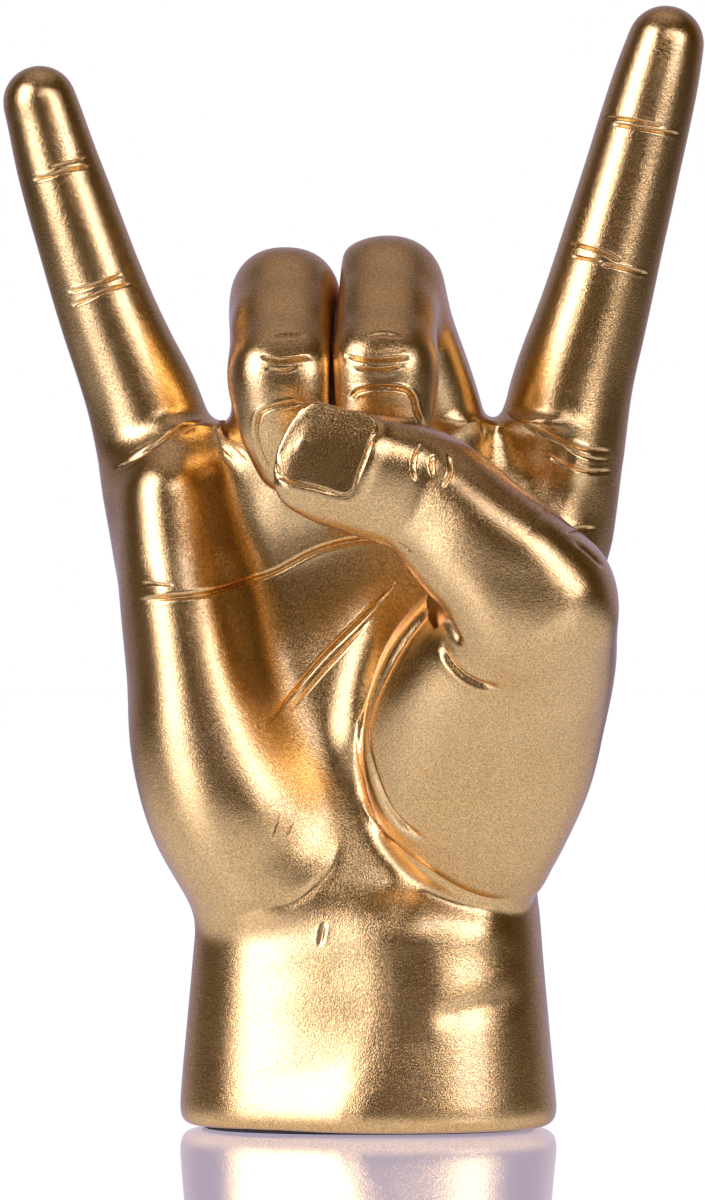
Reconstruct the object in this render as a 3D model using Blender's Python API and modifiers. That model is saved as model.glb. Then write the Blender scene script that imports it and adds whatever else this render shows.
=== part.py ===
"""Hand gesture statue: a cast resin right hand on its wrist, index and little fingers up, thumb over
the two folded fingers. The palm and wrist are one hollow shell. Each digit is its own solid casting
with a spigot that plugs into the shell over a steel pin. A plaster core fills the shell, and a plug
and a thin rubber pad close it below.

The palm faces -Y, +Z is up, and the origin is the centre of the pad's underside. Values are millimetres.
"""

import math

import bmesh
import bpy
from mathutils import Matrix, Vector

MM = 0.001

# Fits and walls
GAP = 0.3  # glue line left between two pieces
WALL = 7.0  # resin wall of the hollow shell
HOLLOW_TOP = 96.0  # the shell is solid above this height

# Base: the pad stands proud of the shell's rim, in a recess that also holds the plug
RIM_HEIGHT = 0.8
RIM_ROUND = 2.4
LEDGE_WIDTH = 3.0  # the plug's seat under the hollow
PAD_THICKNESS = 1.5
PLUG_THICKNESS = 4.0
RECESS_TOP = PAD_THICKNESS + PLUG_THICKNESS + 2 * GAP
WRIST_HALF_WIDTH = 34.0
WRIST_HALF_DEPTH = 24.0

# Spigots and their steel pins
SPIGOT_RADIUS = 5.0
SPIGOT_LENGTH = 11.0
SPIGOT_ROOT = 3.0  # the part of a spigot that is sunk in its digit
PIN_RADIUS = 1.5
PIN_TAIL = 4.0  # length of pin that stands out of the spigot

# Nails
NAIL_RISE = 0.45
NAIL_ROOT = 4.0  # from the bone's line to the buried side of the nail
NAIL_BLOCK = 12.0
NAIL_CORNER = 3.2  # rounding of the nail's outline

# Seams: the root of a digit that the shell holds before it is cut, and the cutters' size
ROOT_STUB = 6.0
STUB_MARGIN = 3.0  # width of the shell's cutter beyond the knuckle
SEAM_MARGIN = 12.0  # width of the digit's cutter beyond the knuckle
SEAM_REACH = 34.0

# Fineness of the forms
SQUARENESS = 2.35  # exponent of the wrist's and the palm's sections: 2 is an ellipse
BALL_SECTION = 2.15  # the same for the ball of the thumb
WEB_SECTION = 2.0
HEEL_SECTION = 2.0
RING_POINTS = 24  # points round a limb or a section
END_STEPS = 5  # rings that round the end of a limb
STATION_STEPS = 4  # rings from one station to the next
INNER_STEP = 10.0  # height from one ring of the hollow to the next
ROD_SIDES = 20
END_CLOSURE = 0.96  # share of a quarter turn that a limb's round end covers before its flat tip
OVERSHOOT = 1.0  # how far a cutter runs past the face that it opens

# Wrist and palm, bottom to top: height, left edge, right edge, palm face, back face
PALM_SECTIONS = (
    (RIM_HEIGHT, -WRIST_HALF_WIDTH + RIM_ROUND, WRIST_HALF_WIDTH - RIM_ROUND,
     -WRIST_HALF_DEPTH + RIM_ROUND, WRIST_HALF_DEPTH - RIM_ROUND),
    (RIM_HEIGHT + 0.3 * RIM_ROUND, -WRIST_HALF_WIDTH + 0.3 * RIM_ROUND, WRIST_HALF_WIDTH - 0.3 * RIM_ROUND,
     -WRIST_HALF_DEPTH + 0.3 * RIM_ROUND, WRIST_HALF_DEPTH - 0.3 * RIM_ROUND),
    (RIM_HEIGHT + RIM_ROUND, -WRIST_HALF_WIDTH, WRIST_HALF_WIDTH, -WRIST_HALF_DEPTH, WRIST_HALF_DEPTH),
    (9.0, -33.7, 33.5, -23.4, 23.4),
    (20.0, -32.7, 32.5, -22.2, 22.2),
    (30.0, -31.8, 31.6, -21.2, 21.4),
    (38.0, -31.4, 31.0, -20.0, 20.6),
    (46.0, -33.4, 30.5, -17.5, 19.8),
    (56.0, -36.5, 33.5, -15.0, 19.0),
    (68.0, -39.5, 37.0, -13.5, 18.5),
    (82.0, -42.0, 39.5, -11.5, 18.0),
    (96.0, -43.5, 41.8, -9.5, 18.0),
    (109.0, -44.5, 43.2, -9.5, 17.5),
    (118.0, -44.0, 42.0, -9.5, 15.5),
    (123.0, -40.0, 36.0, -7.5, 12.5),
    (126.5, -25.0, 24.0, -5.0, 8.0),
    (127.8, -10.0, 10.0, 0.0, 4.0),
)

# The pads of the palm and the web behind the thumb. A station is a centre x, y, z, a half width and a half thickness.
THUMB_BALL = (
    (28.4, -38.5, 93.0, 14.5, 14.5),
    (25.0, -30.5, 86.0, 18.0, 17.0),
    (21.4, -24.5, 77.3, 20.8, 17.0),
    (19.4, -19.0, 67.0, 20.6, 16.0),
    (19.6, -13.5, 57.0, 16.4, 14.5),
    (21.6, -10.5, 50.5, 11.5, 11.5),
    (22.8, -8.5, 45.5, 8.5, 8.5),
)
THUMB_WEB = (
    (31.0, -34.5, 86.0, 10.5, 13.5),
    (33.2, -21.0, 87.0, 9.2, 15.0),
    (35.0, -6.0, 90.0, 8.5, 15.0),
)
HAND_HEEL = (
    (-35.0, -3.2, 112.0, 10.5, 11.0),
    (-32.5, -4.8, 97.0, 12.5, 12.3),
    (-29.5, -5.6, 82.0, 13.8, 13.2),
    (-26.5, -6.5, 69.0, 16.5, 14.2),
    (-22.5, -7.5, 58.0, 17.5, 14.8),
    (-19.0, -7.0, 50.5, 14.5, 12.5),
)

# Digits. Each bone is two or more such stations. across is the direction of the width, and section the
# exponent of the section, where 2 is an ellipse. seam is a point on the joint line, facing the way
# that the seam faces, pin the way that the spigot and the pin point, and pin_length the pin's length.
# nail is a point on the bone's line under the nail, the nail's direction, the way that it faces, its
# width and its length.
DIGITS = {
    "index_finger": {
        "across": (1, 0, 0),
        "section": 2.0,
        "seam": (35.2, 1.6, 125.0),
        "facing": (0.398, 0.0, 0.917),
        "pin": (0.25, -0.048, 0.967),
        "pin_length": 78.0,
        "bones": (
            (
                (31.5, 2.0, 110.0, 12.2, 11.8),
                (34.4, 1.7, 122.0, 11.8, 11.2),
                (37.0, 1.3, 134.5, 10.9, 10.3),
                (40.3, 0.8, 145.7, 10.05, 9.6),
                (42.3, 0.4, 152.9, 9.6, 9.3),
                (44.2, 0.0, 160.1, 9.2, 8.9),
                (46.2, -0.4, 167.4, 8.85, 8.5),
                (48.1, -0.8, 174.6, 8.5, 8.1),
                (50.0, -1.2, 181.8, 8.2, 7.8),
                (51.9, -1.6, 189.0, 7.75, 7.4),
                (53.6, -2.0, 195.5, 7.0, 6.8),
            ),
        ),
        "nail": ((52.2, -1.6, 190.5), (0.27, 0.0, 0.96), (0, 1, 0), 10.6, 12.5),
    },
    "middle_finger": {
        "across": (1, 0, 0),
        "section": 2.5,
        "seam": (9.8, -2.8, 128.2),
        "facing": (-0.20, -0.34, 0.92),
        "pin": (-0.20, -0.34, 0.92),
        "pin_length": 30.0,
        "bones": (
            (
                (13.0, 3.0, 112.0, 11.5, 11.0),
                (9.7, -2.8, 128.5, 10.8, 10.2),
                (6.2, -7.6, 140.5, 10.1, 9.8),
                (3.2, -11.5, 149.8, 9.8, 9.8),
            ),
            ((3.2, -11.5, 149.8, 9.8, 9.8), (2.9, -21.0, 143.9, 9.5, 9.2), (2.5, -29.5, 136.0, 9.2, 8.8)),
            ((2.5, -29.5, 136.0, 9.2, 8.8), (2.5, -29.8, 128.0, 9.1, 8.1), (2.5, -26.5, 121.0, 8.2, 7.2)),
        ),
        "nail": ((2.5, -28.6, 125.2), (0.0, 0.3, -0.95), (0, -0.95, -0.3), 11.0, 12.0),
    },
    "ring_finger": {
        "across": (1, 0, 0),
        "section": 2.5,
        "seam": (-14.2, -2.8, 126.4),
        "facing": (-0.05, -0.34, 0.94),
        "pin": (-0.05, -0.34, 0.94),
        "pin_length": 30.0,
        "bones": (
            (
                (-13.5, 3.0, 110.0, 11.2, 11.0),
                (-14.2, -2.8, 126.0, 10.6, 10.2),
                (-14.7, -7.4, 138.5, 9.8, 9.8),
                (-14.9, -11.0, 148.0, 9.3, 9.7),
            ),
            (
                (-14.9, -11.0, 148.0, 9.3, 9.7),
                (-15.2, -20.3, 142.4, 9.5, 9.0),
                (-15.1, -28.6, 134.8, 9.2, 8.7),
            ),
            (
                (-15.1, -28.6, 134.8, 9.2, 8.7),
                (-14.4, -28.8, 127.4, 8.9, 8.0),
                (-12.8, -25.6, 121.0, 7.7, 7.1),
            ),
        ),
        "nail": ((-14.0, -27.6, 124.8), (0.2, 0.3, -0.93), (0, -0.95, -0.3), 10.6, 12.0),
    },
    "little_finger": {
        "across": (1, 0, 0),
        "section": 2.0,
        "seam": (-38.6, 2.6, 124.0),
        "facing": (-0.483, 0.0, 0.876),
        "pin": (-0.334, -0.05, 0.941),
        "pin_length": 66.0,
        "bones": (
            (
                (-33.5, 3.0, 106.0, 11.2, 10.8),
                (-37.0, 2.7, 118.0, 11.2, 10.4),
                (-40.6, 2.3, 130.5, 10.3, 9.7),
                (-43.8, 1.8, 138.5, 9.5, 9.0),
                (-46.7, 1.4, 145.7, 9.0, 8.6),
                (-49.3, 1.0, 152.9, 8.6, 8.2),
                (-51.7, 0.6, 160.1, 8.25, 7.9),
                (-54.1, 0.3, 167.4, 7.95, 7.6),
                (-56.4, 0.0, 174.6, 7.5, 7.1),
                (-58.4, -0.4, 181.8, 6.95, 6.6),
                (-59.4, -0.7, 185.1, 6.7, 6.4),
            ),
        ),
        "nail": ((-58.2, -0.6, 180.5), (-0.29, 0.0, 0.95), (0, 1, 0), 9.4, 11.0),
    },
    "thumb": {
        "across": (0.4, 0.0, 0.92),
        "section": 2.3,
        "seam": (22.2, -45.1, 102.1),
        "facing": (-0.76, -0.08, 0.65),
        "pin": (-0.76, -0.08, 0.65),
        "pin_length": 30.0,
        "stub_margin": 0.4,
        "bones": (
            (
                (28.8, -43.0, 94.6, 13.8, 12.6),
                (24.0, -45.0, 100.4, 12.9, 11.5),
                (18.6, -45.4, 105.4, 12.1, 10.6),
                (13.6, -44.9, 110.6, 11.3, 9.9),
                (9.0, -44.4, 114.0, 11.0, 9.4),
                (1.9, -46.0, 116.4, 10.9, 8.8),
                (-6.6, -47.8, 118.4, 10.3, 8.2),
            ),
        ),
        "nail": ((-5.6, -47.6, 118.2), (-0.97, 0.0, 0.22), (0.1, -0.88, 0.47), 15.0, 15.0),
    },
}

# Clay settings: the size of the voxels that fuse the forms, and the share of faces kept
SHELL_VOXEL = 1.7
SHELL_SMOOTHING_STEPS = 12
SHELL_KEEP = 0.08
DIGIT_VOXEL = 1.1
DIGIT_SMOOTHING_STEPS = 5
DIGIT_KEEP = 0.07

RESIN_GOLD = (0.72, 0.48, 0.16, 1.0)
STEEL_GREY = (0.55, 0.55, 0.56, 1.0)
PLASTER_WHITE = (0.86, 0.84, 0.79, 1.0)
RAW_RESIN = (0.80, 0.76, 0.66, 1.0)
RUBBER_BLACK = (0.03, 0.03, 0.03, 1.0)


def clear_scene():
    for found in list(bpy.data.objects):
        bpy.data.objects.remove(found, do_unlink=True)


def new_collection(name):
    made = bpy.data.collections.new(name)
    bpy.context.scene.collection.children.link(made)
    return made


def new_material(name, colour, roughness, metallic):
    material = bpy.data.materials.new(name)
    material.use_nodes = True
    shader = material.node_tree.nodes["Principled BSDF"]
    shader.inputs["Base Color"].default_value = colour
    shader.inputs["Roughness"].default_value = roughness
    shader.inputs["Metallic"].default_value = metallic
    return material


def spline(stations, steps):
    """The stations and, between each two, further ones on a smooth curve through them all."""
    found = []
    for i in range(len(stations) - 1):
        before = stations[max(i - 1, 0)]
        start, end = stations[i], stations[i + 1]
        after = stations[min(i + 2, len(stations) - 1)]
        for step in range(steps):
            t = step / steps
            point = []
            for a, b, c, d in zip(before, start, end, after):
                bend = (2 * a - 5 * b + 4 * c - d) * t**2 + (3 * b - a - 3 * c + d) * t**3
                point.append(0.5 * (2 * b + (c - a) * t + bend))
            found.append(tuple(point))
    found.append(stations[-1])
    return found


def superellipse(angle, squareness):
    """A point on a superellipse of half width and half depth 1."""
    cosine, sine = math.cos(angle), math.sin(angle)
    power = 2 / squareness
    return math.copysign(abs(cosine) ** power, cosine), math.copysign(abs(sine) ** power, sine)


def skin(name, rings, collection):
    """A closed mesh through rings of points, each with a flat end."""
    bm = bmesh.new()
    rows = [[bm.verts.new(point * MM) for point in ring] for ring in rings]
    for low, high in zip(rows, rows[1:]):
        for i in range(len(low)):
            j = (i + 1) % len(low)
            bm.faces.new((low[i], low[j], high[j], high[i]))
    bm.faces.new(reversed(rows[0]))
    bm.faces.new(rows[-1])
    bmesh.ops.recalc_face_normals(bm, faces=bm.faces)
    mesh = bpy.data.meshes.new(name)
    bm.to_mesh(mesh)
    bm.free()
    made = bpy.data.objects.new(name, mesh)
    collection.objects.link(made)
    return made


def section_ring(height, left, right, front, back, inset=0.0):
    """One level section of the palm, drawn in by inset."""
    centre = Vector(((left + right) / 2, (front + back) / 2, height))
    half_width = max((right - left) / 2 - inset, 0.5)
    half_depth = max((back - front) / 2 - inset, 0.5)
    ring = []
    for i in range(RING_POINTS):
        x, y = superellipse(2 * math.pi * i / RING_POINTS, SQUARENESS)
        ring.append(centre + Vector((x * half_width, y * half_depth, 0)))
    return ring


def stack(name, sections, collection, inset=0.0):
    """A form lofted through level sections."""
    rings = [section_ring(*section, inset=inset) for section in spline(sections, STATION_STEPS)]
    return skin(name, rings, collection)


def limb(name, stations, across, section, collection, reach=None):
    """A bone with rounded ends, lofted square to its own line, which may stop short at a reach."""
    line = spline(stations, STATION_STEPS)
    if reach:
        line = [station for station in line if math.dist(station[:3], stations[0][:3]) < reach]
    rings = []
    for i, (x, y, z, half_width, half_thickness) in enumerate(line):
        here = Vector((x, y, z))
        ahead = Vector(line[min(i + 1, len(line) - 1)][:3]) - Vector(line[max(i - 1, 0)][:3])
        along = ahead.normalized()
        side = (Vector(across) - Vector(across).dot(along) * along).normalized()
        face = along.cross(side)
        turns = [(0.0, 1.0)]
        if i == 0:
            turns = end_turns(-1)
        if i == len(line) - 1:
            turns = end_turns(1)
        for lift, share in turns:
            middle = here + along * lift * (half_width + half_thickness) / 2
            ring = []
            for k in range(RING_POINTS):
                a, b = superellipse(2 * math.pi * k / RING_POINTS, section)
                ring.append(middle + share * (side * half_width * a + face * half_thickness * b))
            rings.append(ring)
    return skin(name, rings, collection)


def end_turns(direction):
    """How far along and how wide, as shares of the radius, are the rings of a round end."""
    turns = []
    for step in range(END_STEPS + 1):
        angle = 0.5 * math.pi * END_CLOSURE * step / END_STEPS
        turns.append((direction * math.sin(angle), math.cos(angle)))
    return turns if direction > 0 else turns[::-1]


def joined(name, pieces, collection):
    """One object that holds the meshes of all the pieces."""
    bm = bmesh.new()
    for piece in pieces:
        bm.from_mesh(piece.data)
        bpy.data.objects.remove(piece, do_unlink=True)
    mesh = bpy.data.meshes.new(name)
    bm.to_mesh(mesh)
    bm.free()
    made = bpy.data.objects.new(name, mesh)
    collection.objects.link(made)
    return made


def fuse(clay, voxel, smoothing, keep):
    """Blends the forms of a clay object into one skin and thins its faces."""
    remesh = clay.modifiers.new("fuse", "REMESH")
    remesh.mode = "VOXEL"
    remesh.voxel_size = voxel * MM
    smooth = clay.modifiers.new("blend", "SMOOTH")
    smooth.factor = 0.5
    smooth.iterations = smoothing
    thin = clay.modifiers.new("thin", "DECIMATE")
    thin.ratio = keep


def boolean(target, other, operation, name):
    modifier = target.modifiers.new(name, "BOOLEAN")
    modifier.operation = operation
    modifier.object = other
    modifier.solver = "EXACT"


def as_cutter(thing):
    thing.hide_render = True
    thing.display_type = "WIRE"
    return thing


def finish(thing, material, smooth_angle=50):
    thing.data.materials.append(material)
    for polygon in thing.data.polygons:
        polygon.use_smooth = True
    thing.data.set_sharp_from_angle(angle=math.radians(smooth_angle))


def rod(name, start, direction, length, radius, collection):
    """A cylinder from start along direction."""
    bm = bmesh.new()
    bmesh.ops.create_cone(
        bm, cap_ends=True, segments=ROD_SIDES, radius1=radius * MM, radius2=radius * MM, depth=length * MM
    )
    mesh = bpy.data.meshes.new(name)
    bm.to_mesh(mesh)
    bm.free()
    made = bpy.data.objects.new(name, mesh)
    made.rotation_mode = "QUATERNION"
    made.rotation_quaternion = direction.to_track_quat("Z", "Y")
    made.location = (start + direction * length / 2) * MM
    collection.objects.link(made)
    return made


def block(name, centre, along, across, size, collection):
    """A box with its own axes: across is X and along is Z, from size's three lengths."""
    along = Vector(along).normalized()
    side = (Vector(across) - Vector(across).dot(along) * along).normalized()
    bm = bmesh.new()
    bmesh.ops.create_cube(bm, size=1.0)
    bmesh.ops.scale(bm, vec=Vector(size) * MM, verts=bm.verts)
    mesh = bpy.data.meshes.new(name)
    bm.to_mesh(mesh)
    bm.free()
    made = bpy.data.objects.new(name, mesh)
    turn = Matrix((side, along.cross(side), along)).transposed()
    made.matrix_world = Matrix.Translation(Vector(centre) * MM) @ turn.to_4x4()
    collection.objects.link(made)
    return made


def root_of(digit):
    """The direction of the spigot and the pin, and the centre of the seam."""
    return Vector(digit["pin"]).normalized(), Vector(digit["seam"])


def palm_section(height):
    """The section of the palm at a height, between the listed ones."""
    rows = spline(PALM_SECTIONS, STATION_STEPS)
    for low, high in zip(rows, rows[1:]):
        if low[0] <= height <= high[0]:
            share = (height - low[0]) / (high[0] - low[0])
            return tuple(a + (b - a) * share for a, b in zip(low, high))
    return rows[-1]


def straight_block(name, low, high, inset, collection):
    """An upright plate with the outline of the wrist, drawn in by inset."""
    wrist = (-WRIST_HALF_WIDTH, WRIST_HALF_WIDTH, -WRIST_HALF_DEPTH, WRIST_HALF_DEPTH)
    return skin(name, [section_ring(height, *wrist, inset=inset) for height in (low, high)], collection)


def inner_form(name, low, high, inset, collection):
    """The inside of the shell between two heights, drawn in from the palm by inset."""
    count = round((high - low) / INNER_STEP)
    rings = []
    for i in range(count + 1):
        height = low + (high - low) * i / count
        rings.append(section_ring(*palm_section(height), inset=inset))
    return skin(name, rings, collection)


def grown_copy(clay, name, grow, collection):
    """A copy of a clay object, grown outwards along its normals."""
    copy = clay.copy()
    copy.name = name
    collection.objects.link(copy)
    swell = copy.modifiers.new("grow", "DISPLACE")
    swell.strength = grow * MM
    swell.mid_level = 0.0
    return copy


def seam_block(name, digit, side, collection):
    """A block that ends half a glue line past a digit's seam: side 1 lies beyond the seam, -1 below it."""
    facing, seam = Vector(digit["facing"]).normalized(), Vector(digit["seam"])
    margin = digit.get("stub_margin", STUB_MARGIN) if side > 0 else SEAM_MARGIN
    half_width, half_thickness = digit["bones"][0][0][3:]
    size = (2 * half_width + margin, 2 * half_thickness + margin, SEAM_REACH)
    centre = seam + facing * side * (SEAM_REACH - GAP) / 2
    return as_cutter(block(name, centre, facing, digit["across"], size, collection))


def digit_clay(name, digit, collection):
    """The bones of a digit, fused."""
    limbs = []
    for bone in digit["bones"]:
        limbs.append(limb(name + "_bone", bone, digit["across"], digit["section"], collection))
    clay = joined(name + "_clay", limbs, collection)
    fuse(clay, DIGIT_VOXEL, DIGIT_SMOOTHING_STEPS, DIGIT_KEEP)
    return as_cutter(clay)


def nail_plate(name, clay, nail, collection):
    """The nail: a slightly grown copy of the digit, cut to a block with rounded corners."""
    centre, along, facing, width, length = nail
    along, facing = Vector(along).normalized(), Vector(facing).normalized()
    plate = grown_copy(clay, name + "_nail", NAIL_RISE, collection)
    middle = Vector(centre) + facing * (NAIL_ROOT + NAIL_BLOCK / 2)
    size = (width, NAIL_BLOCK, length)
    outline = block(name + "_nail_outline", middle, along, along.cross(facing), size, collection)
    corners = outline.modifiers.new("corners", "BEVEL")
    corners.width = NAIL_CORNER * MM
    corners.segments = 3
    boolean(plate, as_cutter(outline), "INTERSECT", "outline")
    return as_cutter(plate)


def build_digit(name, digit, clay, parts, cutters, material, neighbours):
    """A digit cut at its seam, with nail, spigot and pin bore, seated against its neighbours."""
    along, seam = root_of(digit)
    finger = clay.copy()
    finger.name = name
    finger.hide_render = False
    finger.display_type = "TEXTURED"
    parts.objects.link(finger)
    boolean(finger, nail_plate(name, clay, digit["nail"], cutters), "UNION", "nail")
    boolean(finger, seam_block(name + "_seam", digit, -1, cutters), "DIFFERENCE", "seam")
    foot = seam - along * SPIGOT_LENGTH
    spigot = rod(name + "_spigot", foot, along, SPIGOT_LENGTH + SPIGOT_ROOT, SPIGOT_RADIUS, cutters)
    boolean(finger, as_cutter(spigot), "UNION", "spigot")
    depth = OVERSHOOT + digit["pin_length"] - PIN_TAIL + GAP
    bore = rod(name + "_bore", foot - along * OVERSHOOT, along, depth, PIN_RADIUS + GAP, cutters)
    boolean(finger, as_cutter(bore), "DIFFERENCE", "pin_bore")
    for neighbour in neighbours:
        boolean(finger, neighbour, "DIFFERENCE", "seat")
    finish(finger, material)
    return finger


def build_pin(name, digit, parts, material):
    """The steel pin of a digit, from below the spigot to deep in the digit."""
    along, seam = root_of(digit)
    start = seam - along * (SPIGOT_LENGTH + PIN_TAIL)
    pin = rod(name + "_pin", start, along, digit["pin_length"], PIN_RADIUS, parts)
    finish(pin, material)
    return pin


def build_shell(parts, cutters, material, thumb_seat):
    """The palm and wrist: fused outside, cut at the seams, bored for the spigots, hollow and open below."""
    forms = [
        stack("palm_form", PALM_SECTIONS, parts),
        limb("thumb_ball_form", THUMB_BALL, (1, 0, 0), BALL_SECTION, parts),
        limb("thumb_web_form", THUMB_WEB, (1, 0, 0), WEB_SECTION, parts),
        limb("hand_heel_form", HAND_HEEL, (1, 0, 0), HEEL_SECTION, parts),
    ]
    for name, digit in DIGITS.items():
        first = digit["bones"][0]
        reach = math.dist(first[0][:3], digit["seam"]) + ROOT_STUB
        forms.append(limb(name + "_root", first, digit["across"], digit["section"], parts, reach))
    shell = joined("palm_and_wrist_shell", forms, parts)
    fuse(shell, SHELL_VOXEL, SHELL_SMOOTHING_STEPS, SHELL_KEEP)
    for name, digit in DIGITS.items():
        boolean(shell, seam_block(name + "_stub_cut", digit, 1, cutters), "DIFFERENCE", name + "_seam")
    boolean(shell, thumb_seat, "DIFFERENCE", "thumb_seat")
    for name, digit in DIGITS.items():
        along, seam = root_of(digit)
        mouth = seam + along * OVERSHOOT
        depth = OVERSHOOT + SPIGOT_LENGTH + GAP
        socket = rod(name + "_socket", mouth, -along, depth, SPIGOT_RADIUS + GAP, cutters)
        boolean(shell, as_cutter(socket), "DIFFERENCE", name + "_socket")
        pin_hole = rod(name + "_pin_hole", mouth, -along, depth + PIN_TAIL, PIN_RADIUS + GAP, cutters)
        boolean(shell, as_cutter(pin_hole), "DIFFERENCE", name + "_pin_hole")
    hollow = inner_form("hollow", RECESS_TOP - OVERSHOOT, HOLLOW_TOP, WALL, cutters)
    boolean(shell, as_cutter(hollow), "DIFFERENCE", "hollow")
    recess = straight_block("recess", -OVERSHOOT, RECESS_TOP, WALL - LEDGE_WIDTH, cutters)
    boolean(shell, as_cutter(recess), "DIFFERENCE", "recess")
    finish(shell, material)
    return shell


def build_base(parts, resin, plaster, rubber):
    """The core that fills the shell, the plug below it and the pad that the statue stands on."""
    core = inner_form("weighted_core", RECESS_TOP + GAP, HOLLOW_TOP - GAP, WALL + GAP, parts)
    finish(core, plaster)
    outline = WALL - LEDGE_WIDTH + GAP
    plug = straight_block("base_plug", PAD_THICKNESS + GAP, RECESS_TOP - GAP, outline, parts)
    finish(plug, resin)
    pad = straight_block("base_pad", 0, PAD_THICKNESS, outline, parts)
    finish(pad, rubber)


def main():
    clear_scene()
    parts = new_collection("hand_gesture_statue")
    cutters = new_collection("cutters")
    gold = new_material("gold_lacquer", RESIN_GOLD, 0.38, 1.0)
    steel = new_material("steel", STEEL_GREY, 0.35, 1.0)
    plaster = new_material("plaster", PLASTER_WHITE, 0.9, 0.0)
    resin = new_material("raw_resin", RAW_RESIN, 0.6, 0.0)
    rubber = new_material("rubber", RUBBER_BLACK, 0.8, 0.0)

    clays = {name: digit_clay(name, digit, cutters) for name, digit in DIGITS.items()}
    thumb_seat = as_cutter(grown_copy(clays["thumb"], "thumb_seat", GAP, cutters))
    boolean(thumb_seat, seam_block("thumb_seat_seam", DIGITS["thumb"], -1, cutters), "DIFFERENCE", "seam")
    middle_seat = as_cutter(grown_copy(clays["middle_finger"], "middle_seat", GAP, cutters))
    seats = {"middle_finger": (thumb_seat,), "ring_finger": (thumb_seat, middle_seat)}
    for name, digit in DIGITS.items():
        build_digit(name, digit, clays[name], parts, cutters, gold, seats.get(name, ()))
        build_pin(name, digit, parts, steel)
    build_shell(parts, cutters, gold, thumb_seat)
    build_base(parts, resin, plaster, rubber)


main()
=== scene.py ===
"""Hand gesture statue in satin gold lacquer: the surface, the finish, the table and the light.

Each piece of the hand is a smooth field of limbs and sections, turned into a mesh, and then worked like
clay: folds, wrinkles and nails are pressed in or raised along lines. Lengths are millimetres until a mesh
is made. The palm faces -Y and +Z is up. Lines of folds and nails are given in pixels of the photograph,
705 wide and 1200 high, and thrown from its camera onto the piece that they belong to.
"""

import math
from contextlib import contextmanager

import bmesh
import bpy
import numpy as np
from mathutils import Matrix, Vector


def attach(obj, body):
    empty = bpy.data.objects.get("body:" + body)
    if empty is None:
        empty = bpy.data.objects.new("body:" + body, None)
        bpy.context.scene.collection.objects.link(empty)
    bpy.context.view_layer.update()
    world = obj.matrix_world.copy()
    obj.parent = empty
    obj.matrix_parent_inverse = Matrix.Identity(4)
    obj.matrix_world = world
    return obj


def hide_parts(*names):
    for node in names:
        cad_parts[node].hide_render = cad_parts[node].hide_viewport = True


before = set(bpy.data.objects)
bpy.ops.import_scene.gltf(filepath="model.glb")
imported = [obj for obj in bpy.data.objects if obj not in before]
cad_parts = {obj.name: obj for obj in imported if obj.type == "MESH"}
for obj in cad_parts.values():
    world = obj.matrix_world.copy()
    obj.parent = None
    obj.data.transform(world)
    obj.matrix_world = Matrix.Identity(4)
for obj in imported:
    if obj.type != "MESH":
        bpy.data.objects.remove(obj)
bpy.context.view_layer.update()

MM = 0.001
TINY = 1e-6  # keeps a division from zero
OFF_MIDDLE = 1e-4  # keeps the powers of a limb's section from zero

# Camera, from the photograph
IMAGE_WIDTH = 705
IMAGE_HEIGHT = 1200
CAMERA_DISTANCE = 1250.0  # from the plane y = 0
CAMERA_X = -2.89
CAMERA_Z = 95.1
FOCAL_PIXELS = 6919.0

# Fineness
STEP = 0.5  # lattice of the fields
HAND_BOX = (-58, -60, -4), (56, 32, 142)  # corners of the palm's lattice
LINE_STEPS = 6  # pieces from one station of a limb, or one point of a stroke, to the next
PALM_STEPS = 24  # pieces from one section of the palm to the next
SOFTENING = 1.5  # rounds of softening a field, at a lattice of 1 mm
SETTLING = 3  # rounds of spreading the points of a net
LEAST_SLOPE = 0.1  # least square of a field's slope
FINE_REACHES = ((1.6, 0.7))  # distances from a fold within which faces are split
FINE_PULL = 0.1  # how far a new point may move to the surface
FAR = 20.0  # value of an empty field
MARGIN = 5.0  # lattice kept round a form
TURNED_SIDES = 32
RING_SIDES = 48
HOLLOW_RINGS = 10
SHARP_EDGE = 0.7  # angle in radians from which an edge is shaded as an edge

# Sections of folds and nails
WIDE = 1.2  # half width of a stroke from which it is a swelling and not a fold
SHARPNESS = 1.5  # exponent of a fold's section
STROKE_REACH = 4  # how far a stroke reaches, in its half widths
STEP_REACH = 2.5  # and in the length over which its step dies away
LIP_PLACE = 2.0  # of a fold's lips, in half widths from its middle
LIP_WIDTH = 1.2
EDGE_WIDTH = 0.7  # over which a step or a nail's edge rises
FULLY_FACING = 0.4  # share of a surface's slant from which a stroke presses it fully
NAIL_REACH = 6.0
SKIN_PLACE = 1.4  # of the fold of skin, from a nail's edge
SKIN_WIDTH = 1.0
PLANE_SHARE = 0.85  # how flat a nail's own plane makes it
PLANE_LIMITS = (-2.0, 3.0)
PLANE_FADE = 1.2
LEAST_FACING = 0.5  # least share of a nail's skin that faces its plane

# Blends, as the width of the band in which two forms melt together
WEB_BLEND = 5.0
ROOT_BLEND = 2.0
HEEL_BLEND = 7.0
THUMB_BLEND = 5.0
BALL_BLEND = 3.0
KNUCKLE_BLEND = 3.0
PAIR_BLEND = 0.5
TOUCH_BLEND = 0.3

# Wrist and rim
RIM_HEIGHT = 0.4
RIM_ROUND = 3.0
SQUARENESS = 2.35

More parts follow.
